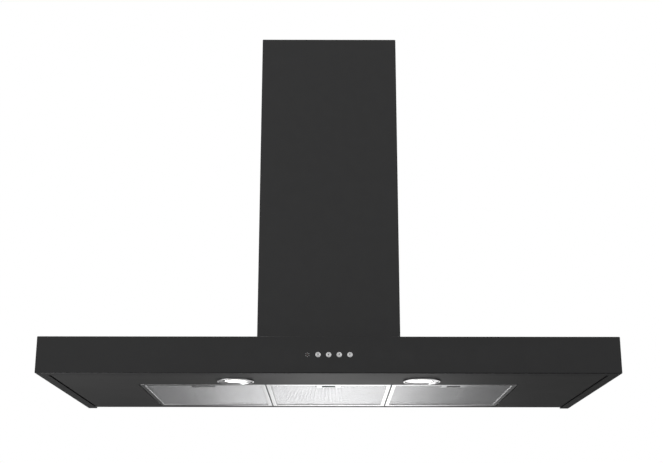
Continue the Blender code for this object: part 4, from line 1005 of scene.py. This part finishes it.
# ------------------------------------------------------------------ blower, outlet, back and wiring
def make_blower():
    """Blower box, scroll, wheel and motor, with softened edges and their own finishes."""
    zinc, black = "galvanised sheet", "black moulding"
    softened_node("blower_box", "blower_case", zinc, "hood", 0.0003)
    softened_node("scroll_left", "scroll_half_left", black, "hood", 0.0004, 50)
    softened_node("scroll_right", "scroll_half_right", black, "hood", 0.0004, 50)
    softened_node("impeller", "blower_wheel", black, "impeller", 0.0002, 50)
    dress("motor", "motor steel")
    softened_node("motor_bracket", "motor_spider", zinc, "hood", 0.0003, 50)


def make_outlet():
    """Duct collar with its two flaps on one pin."""
    softened_node("outlet_ring", "duct_collar", "black moulding", "hood", 0.0004, 50)
    for way in ("front", "rear"):
        softened_node(f"flap_{way}", f"duct_flap_{way}", "grey moulding", f"flap_{way}",
                      0.0002, 50)
    dress("flap_pin", "spring steel")


def make_back():
    """Back plate, wall rail and the rails over the filters."""
    zinc = "galvanised sheet"
    softened_node("back_plate", "rear_plate", zinc, "hood", 0.0002)
    softened_node("wall_rail", "hanging_rail", zinc, "hood", 0.0003)
    for side in LAMP_SIDES:
        softened_node(f"cross_rail_{side}", f"filter_bridge_{side}", zinc, "hood", 0.0002)


def make_wiring():
    """Wiring box with its lid, gland and capacitor."""
    softened_node("wiring_box", "wiring_case", "grey moulding", "hood", 0.0006)
    softened_node("wiring_lid", "wiring_cover", "grey moulding", "hood", 0.0006)
    dress("cable_gland", "black moulding")
    dress("capacitor", "white moulding")


# ------------------------------------------------------------------ fasteners
def screw_shape(radius):
    """A pan-head screw's head with a cross recess, standing on the XY plane."""
    head = [(0, -radius * 0.05), (radius, -radius * 0.05), (radius, radius * 0.18)]
    head += [(radius * 0.93, radius * 0.42), (radius * 0.72, radius * 0.60), (radius * 0.40, radius * 0.70)]
    head.append((0, radius * 0.73))
    arm, thick, depth = radius * 0.50, radius * 0.11, radius * 0.30
    cross = boxes(((-arm, -thick, depth), (arm, thick, radius)))
    other = boxes(((-thick, -arm, depth), (thick, arm, radius)))
    return cut(turned(head, CENTRE, "z", 24), cross, other)


def rivet_shape(radius):
    """A blind rivet's head with its hollow middle, standing on the XY plane."""
    head = [(0, -radius * 0.05), (radius, -radius * 0.05), (radius * 0.92, radius * 0.25)]
    head += [(radius * 0.62, radius * 0.45), (radius * 0.42, radius * 0.42), (radius * 0.40, radius * 0.15)]
    head.append((0, radius * 0.15))
    return turned(head, CENTRE, "z", 20)


def scattered(shape, places):
    """One mesh with a copy of a shape at each place, turned to face its direction."""
    template = bpy.data.meshes.new("template")
    shape.to_mesh(template)
    shape.free()
    bm = bmesh.new()
    for point, direction in places:
        start = len(bm.verts)
        bm.from_mesh(template)
        bm.verts.ensure_lookup_table()
        turn = Vector(direction).to_track_quat("Z", "Y").to_matrix().to_4x4()
        bmesh.ops.transform(bm, matrix=Matrix.Translation(point) @ turn, verts=bm.verts[start:])
    bpy.data.meshes.remove(template)
    return bm


def make_fasteners():
    """Screws and rivets, each on the sheet that it holds."""
    sizes = bpy.context.scene.hood_sizes
    screws = []
    plate_screw_z, flange_inset, inset = 0.020, 0.0045, 0.008
    plate_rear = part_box("back_plate")[1].y
    for x in (-0.50, -0.30, 0.30, 0.50):
        screws.append(((x, plate_rear, plate_screw_z), (0, 1, 0)))
    box_low, box_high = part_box("blower_box")
    for x in (-0.10, 0.10):
        for y in (box_low.y + flange_inset, box_high.y - flange_inset):
            screws.append(((x, y, box_low.z + sizes.sheet), (0, 0, 1)))
    ring_low, ring_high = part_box("outlet_ring")
    for x in (ring_low.x + inset, ring_high.x - inset):
        for y in (ring_low.y + inset, ring_high.y - inset):
            screws.append(((x, y, ring_low.z + 0.003), (0, 0, 1)))
    lid_low, lid_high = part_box("wiring_lid")
    for x in (lid_low.x + inset, lid_high.x - inset):
        for y in (lid_low.y + inset, lid_high.y - inset):
            screws.append(((x, y, lid_low.z), (0, 0, -1)))
    piece("hood_screws", scattered(screw_shape(sizes.screw), screws), "screw zinc", "hood")
    rivets = []
    for side in LAMP_SIDES:
        low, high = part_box(f"cross_rail_{side}")
        for y in (low.y + 0.006, high.y - 0.006):
            rivets.append((((low.x + high.x) / 2, y, low.z + sizes.sheet), (0, 0, 1)))
    piece("hood_rivets", scattered(rivet_shape(sizes.rivet), rivets), "screw zinc", "hood")
    for side in SIDES:
        low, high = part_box(f"filter_frame_{side}")
        rear = high.y - TAB_LENGTH
        left, right, near, far = (
            low.x + flange_inset, high.x - flange_inset, low.y + flange_inset, rear - flange_inset
        )
        corners = [(left, near), (right, near), (left, far), (right, far)]
        heads = [((x, y, high.z), (0, 0, 1)) for x, y in corners]
        piece(f"filter_rivets_{side}", scattered(rivet_shape(sizes.rivet), heads), "screw zinc",
              f"filter_{side}")


# ------------------------------------------------------------------ stage
def soft_light(name, place_at, target, wide, tall, power):
    """An area light that faces a target and doesn't show itself."""
    lamp = bpy.data.lights.new(name, "AREA")
    lamp.shape, lamp.size, lamp.size_y, lamp.energy = "RECTANGLE", wide, tall, power
    thing = bpy.data.objects.new(name, lamp)
    thing.location = place_at
    thing.rotation_euler = (Vector(target) - Vector(place_at)).to_track_quat("-Z", "Y").to_euler()
    thing.visible_camera = False
    bpy.context.scene.collection.objects.link(thing)


def make_floor():
    stage = bpy.context.scene.hood_stage
    bm = bmesh.new()
    bmesh.ops.create_circle(bm, cap_ends=True, segments=96, radius=stage.floor_radius)
    bmesh.ops.translate(bm, vec=(0, -0.25, -stage.floor_drop), verts=bm.verts)
    bm.normal_update()
    bmesh.ops.reverse_faces(bm, faces=[f for f in bm.faces if f.normal.z < 0])
    mesh = bpy.data.meshes.new("floor")
    bm.to_mesh(mesh)
    bm.free()
    floor = bpy.data.objects.new("floor", mesh)
    bpy.context.scene.collection.objects.link(floor)
    made = bpy.data.materials.new("pale floor")
    made.use_nodes = True
    tree = made.node_tree
    tree.nodes.clear()
    path = add(tree, "ShaderNodeLightPath")
    back = add(tree, "ShaderNodeNewGeometry").outputs["Backfacing"]
    seen = add(tree, "ShaderNodeBsdfDiffuse", {}, {"Color": (0.88, 0.88, 0.88, 1)})
    felt = add(tree, "ShaderNodeBsdfDiffuse", {}, {"Color": (0.18, 0.18, 0.18, 1)})
    clear = add(tree, "ShaderNodeBsdfTransparent")
    sides = {0: path.outputs["Is Camera Ray"], 1: felt.outputs[0], 2: seen.outputs[0]}
    front = add(tree, "ShaderNodeMixShader", {}, sides)
    both = add(tree, "ShaderNodeMixShader", {}, {0: back, 1: front.outputs[0], 2: clear.outputs[0]})
    add(tree, "ShaderNodeOutputMaterial", {}, {"Surface": both.outputs[0]})
    floor.data.materials.append(made)


def glow_patch(tree, way, towards, stretch, radius, strength):
    """Brightness of a soft oval patch of the room, in a direction from the origin."""
    far = vectors(tree, "SUBTRACT", way, towards)
    oval = vectors(tree, "MULTIPLY", far, stretch)
    off = add(tree, "ShaderNodeVectorMath", {"operation": "LENGTH"}, {0: oval}).outputs["Value"]
    inputs = {"Value": off, "From Min": 0.0, "From Max": radius, "To Min": strength, "To Max": 0.0}
    faded = add(tree, "ShaderNodeMapRange", {"interpolation_type": "SMOOTHERSTEP"}, inputs)
    return faded.outputs["Result"]


def make_world():
    """White to the camera. To everything else a soft grey room, dark behind but for two low glows."""
    stage = bpy.context.scene.hood_stage
    world = bpy.data.worlds.new("studio")
    world.use_nodes = True
    tree = world.node_tree
    tree.nodes.clear()
    way = add(tree, "ShaderNodeTexCoord").outputs["Generated"]
    across = add(tree, "ShaderNodeSeparateXYZ", {}, {0: way})
    dark_share = 12
    ahead = spread(tree, across.outputs["Y"], stage.fill, stage.fill / dark_share, -0.35, 0.15)
    lift = spread(tree, across.outputs["Z"], 0.62, 1.2, -0.35, 0.10)
    total = calculated(tree, "MULTIPLY", ahead, lift)
    parts = [spread(tree, across.outputs["Z"], 0.0, 0.12, 0.55, 0.95)]
    middle, right, side_share = (0.018, 0.985, -0.15), (0.25, 0.955, -0.15), 6
    parts.append(glow_patch(tree, way, middle, (1.0, 0.5, 0.55), 0.15, stage.glow))
    parts.append(glow_patch(tree, way, right, (1.0, 0.5, 0.8), 0.12, stage.glow / side_share))
    for part in parts:
        total = calculated(tree, "ADD", total, part)
    unseen = add(tree, "ShaderNodeBackground", {}, {"Color": (1, 1, 1, 1), "Strength": total})
    white = add(tree, "ShaderNodeBackground", {}, {"Color": (1, 1, 1, 1), "Strength": 1.0})
    seen = add(tree, "ShaderNodeLightPath").outputs["Is Camera Ray"]
    both = add(tree, "ShaderNodeMixShader", {}, {0: seen, 1: unseen.outputs[0], 2: white.outputs[0]})
    add(tree, "ShaderNodeOutputWorld", {}, {"Surface": both.outputs[0]})
    bpy.context.scene.world = world


def make_camera():
    stage = bpy.context.scene.hood_stage
    lens = bpy.data.cameras.new("camera")
    lens.lens, lens.sensor_width = stage.lens, 36.0
    camera = bpy.data.objects.new("camera", lens)
    pitch, roll, turn = stage.camera_turn
    camera.rotation_euler = (math.pi / 2 + pitch, roll, turn)
    camera.location = stage.camera_place
    bpy.context.scene.collection.objects.link(camera)
    bpy.context.scene.camera = camera


def make_stage():
    make_floor()
    make_world()
    make_camera()
    soft_light("front light", (-1.9, -3.6, 1.0), (0, -0.3, 0.2), 2.4, 2.4, 6)
    soft_light("top light", (-0.9, 1.5, 2.9), (-0.1, -0.1, 0.2), 2.2, 1.6, 40)
    soft_light("rear light", (0.9, 3.0, 1.6), (0, 0, 0.3), 1.8, 1.8, 40)
    soft_light("low light", (-1.05, 0.15, -1.5), (-1.05, 0.15, 0), 0.7, 2.0, 15)
    soft_light("dim low light", (-0.05, 0.20, -1.5), (-0.05, 0.20, 0), 1.0, 2.2, 1.0)
    scene = bpy.context.scene
    scene.view_settings.view_transform = "Standard"
    scene.view_settings.look = "None"


# ------------------------------------------------------------------ operators
class HOOD_OT_materials(bpy.types.Operator):
    """Makes the paints, metals and mouldings"""

    bl_idname = "hood.materials"
    bl_label = "Materials"

    def execute(self, context):
        make_materials()
        return {"FINISHED"}


class HOOD_OT_canopy(bpy.types.Operator):
    """Folds the painted canopy"""

    bl_idname = "hood.canopy"
    bl_label = "Canopy"

    def execute(self, context):
        make_canopy()
        return {"FINISHED"}


class HOOD_OT_underside(bpy.types.Operator):
    """Makes the enamelled underside"""

    bl_idname = "hood.underside"
    bl_label = "Underside"

    def execute(self, context):
        make_underside()
        return {"FINISHED"}


class HOOD_OT_filters(bpy.types.Operator):
    """Makes the three mesh filters and their latches"""

    bl_idname = "hood.filters"
    bl_label = "Filters"

    def execute(self, context):
        make_filters()
        return {"FINISHED"}


class HOOD_OT_lamps(bpy.types.Operator):
    """Makes the two round lamps"""

    bl_idname = "hood.lamps"
    bl_label = "Lamps"

    def execute(self, context):
        make_lamps()
        return {"FINISHED"}


class HOOD_OT_controls(bpy.types.Operator):
    """Makes the buttons and the indicator"""

    bl_idname = "hood.controls"
    bl_label = "Controls"

    def execute(self, context):
        make_controls()
        return {"FINISHED"}


class HOOD_OT_chimney(bpy.types.Operator):
    """Makes the two chimney covers"""

    bl_idname = "hood.chimney"
    bl_label = "Chimney"

    def execute(self, context):
        make_chimney()
        return {"FINISHED"}


class HOOD_OT_blower(bpy.types.Operator):
    """Makes the blower and its motor"""

    bl_idname = "hood.blower"
    bl_label = "Blower"

    def execute(self, context):
        make_blower()
        return {"FINISHED"}


class HOOD_OT_outlet(bpy.types.Operator):
    """Makes the duct collar and its flaps"""

    bl_idname = "hood.outlet"
    bl_label = "Outlet"

    def execute(self, context):
        make_outlet()
        return {"FINISHED"}


class HOOD_OT_back(bpy.types.Operator):
    """Makes the back plate and the rails"""

    bl_idname = "hood.back"
    bl_label = "Back"

    def execute(self, context):
        make_back()
        return {"FINISHED"}


class HOOD_OT_wiring(bpy.types.Operator):
    """Makes the wiring box"""

    bl_idname = "hood.wiring"
    bl_label = "Wiring"

    def execute(self, context):
        make_wiring()
        return {"FINISHED"}


class HOOD_OT_fasteners(bpy.types.Operator):
    """Adds the screws and rivets"""

    bl_idname = "hood.fasteners"
    bl_label = "Fasteners"

    def execute(self, context):
        make_fasteners()
        return {"FINISHED"}


class HOOD_OT_stage(bpy.types.Operator):
    """Makes the floor, lights and camera"""

    bl_idname = "hood.stage"
    bl_label = "Stage"

    def execute(self, context):
        make_stage()
        return {"FINISHED"}


OPERATORS = (
    HOOD_OT_materials,
    HOOD_OT_canopy,
    HOOD_OT_underside,
    HOOD_OT_filters,
    HOOD_OT_lamps,
    HOOD_OT_controls,
    HOOD_OT_chimney,
    HOOD_OT_blower,
    HOOD_OT_outlet,
    HOOD_OT_back,
    HOOD_OT_wiring,
    HOOD_OT_fasteners,
    HOOD_OT_stage,
)


class HOOD_PT_panel(bpy.types.Panel):
    """Lists the hood's settings and the operators that build it"""

    bl_label = "Range Hood"
    bl_idname = "HOOD_PT_panel"
    bl_space_type = "VIEW_3D"
    bl_region_type = "UI"
    bl_category = "Range Hood"

    def draw(self, context):
        for made in OPERATORS:
            self.layout.operator(made.bl_idname)
        for settings in (context.scene.hood_sizes, context.scene.hood_colours, context.scene.hood_stage):
            column = self.layout.column(align=True)
            for key in settings.__annotations__:
                column.prop(settings, key)


CLASSES = (HoodSizes, HoodColours, HoodStage, *OPERATORS, HOOD_PT_panel)
SETTINGS = {"hood_sizes": HoodSizes, "hood_colours": HoodColours, "hood_stage": HoodStage}


def register():
    for made in CLASSES:
        bpy.utils.register_class(made)
    for name, kind in SETTINGS.items():
        setattr(bpy.types.Scene, name, bpy.props.PointerProperty(type=kind))


def unregister():
    for name in SETTINGS:
        delattr(bpy.types.Scene, name)
    for made in reversed(CLASSES):
        bpy.utils.unregister_class(made)


def main():
    register()
    bpy.ops.hood.materials()
    bpy.ops.hood.canopy()
    bpy.ops.hood.underside()
    bpy.ops.hood.filters()
    bpy.ops.hood.lamps()
    bpy.ops.hood.controls()
    bpy.ops.hood.chimney()
    bpy.ops.hood.blower()
    bpy.ops.hood.outlet()
    bpy.ops.hood.back()
    bpy.ops.hood.wiring()
    bpy.ops.hood.fasteners()
    bpy.ops.hood.stage()


if __name__ == "__main__":
    main()
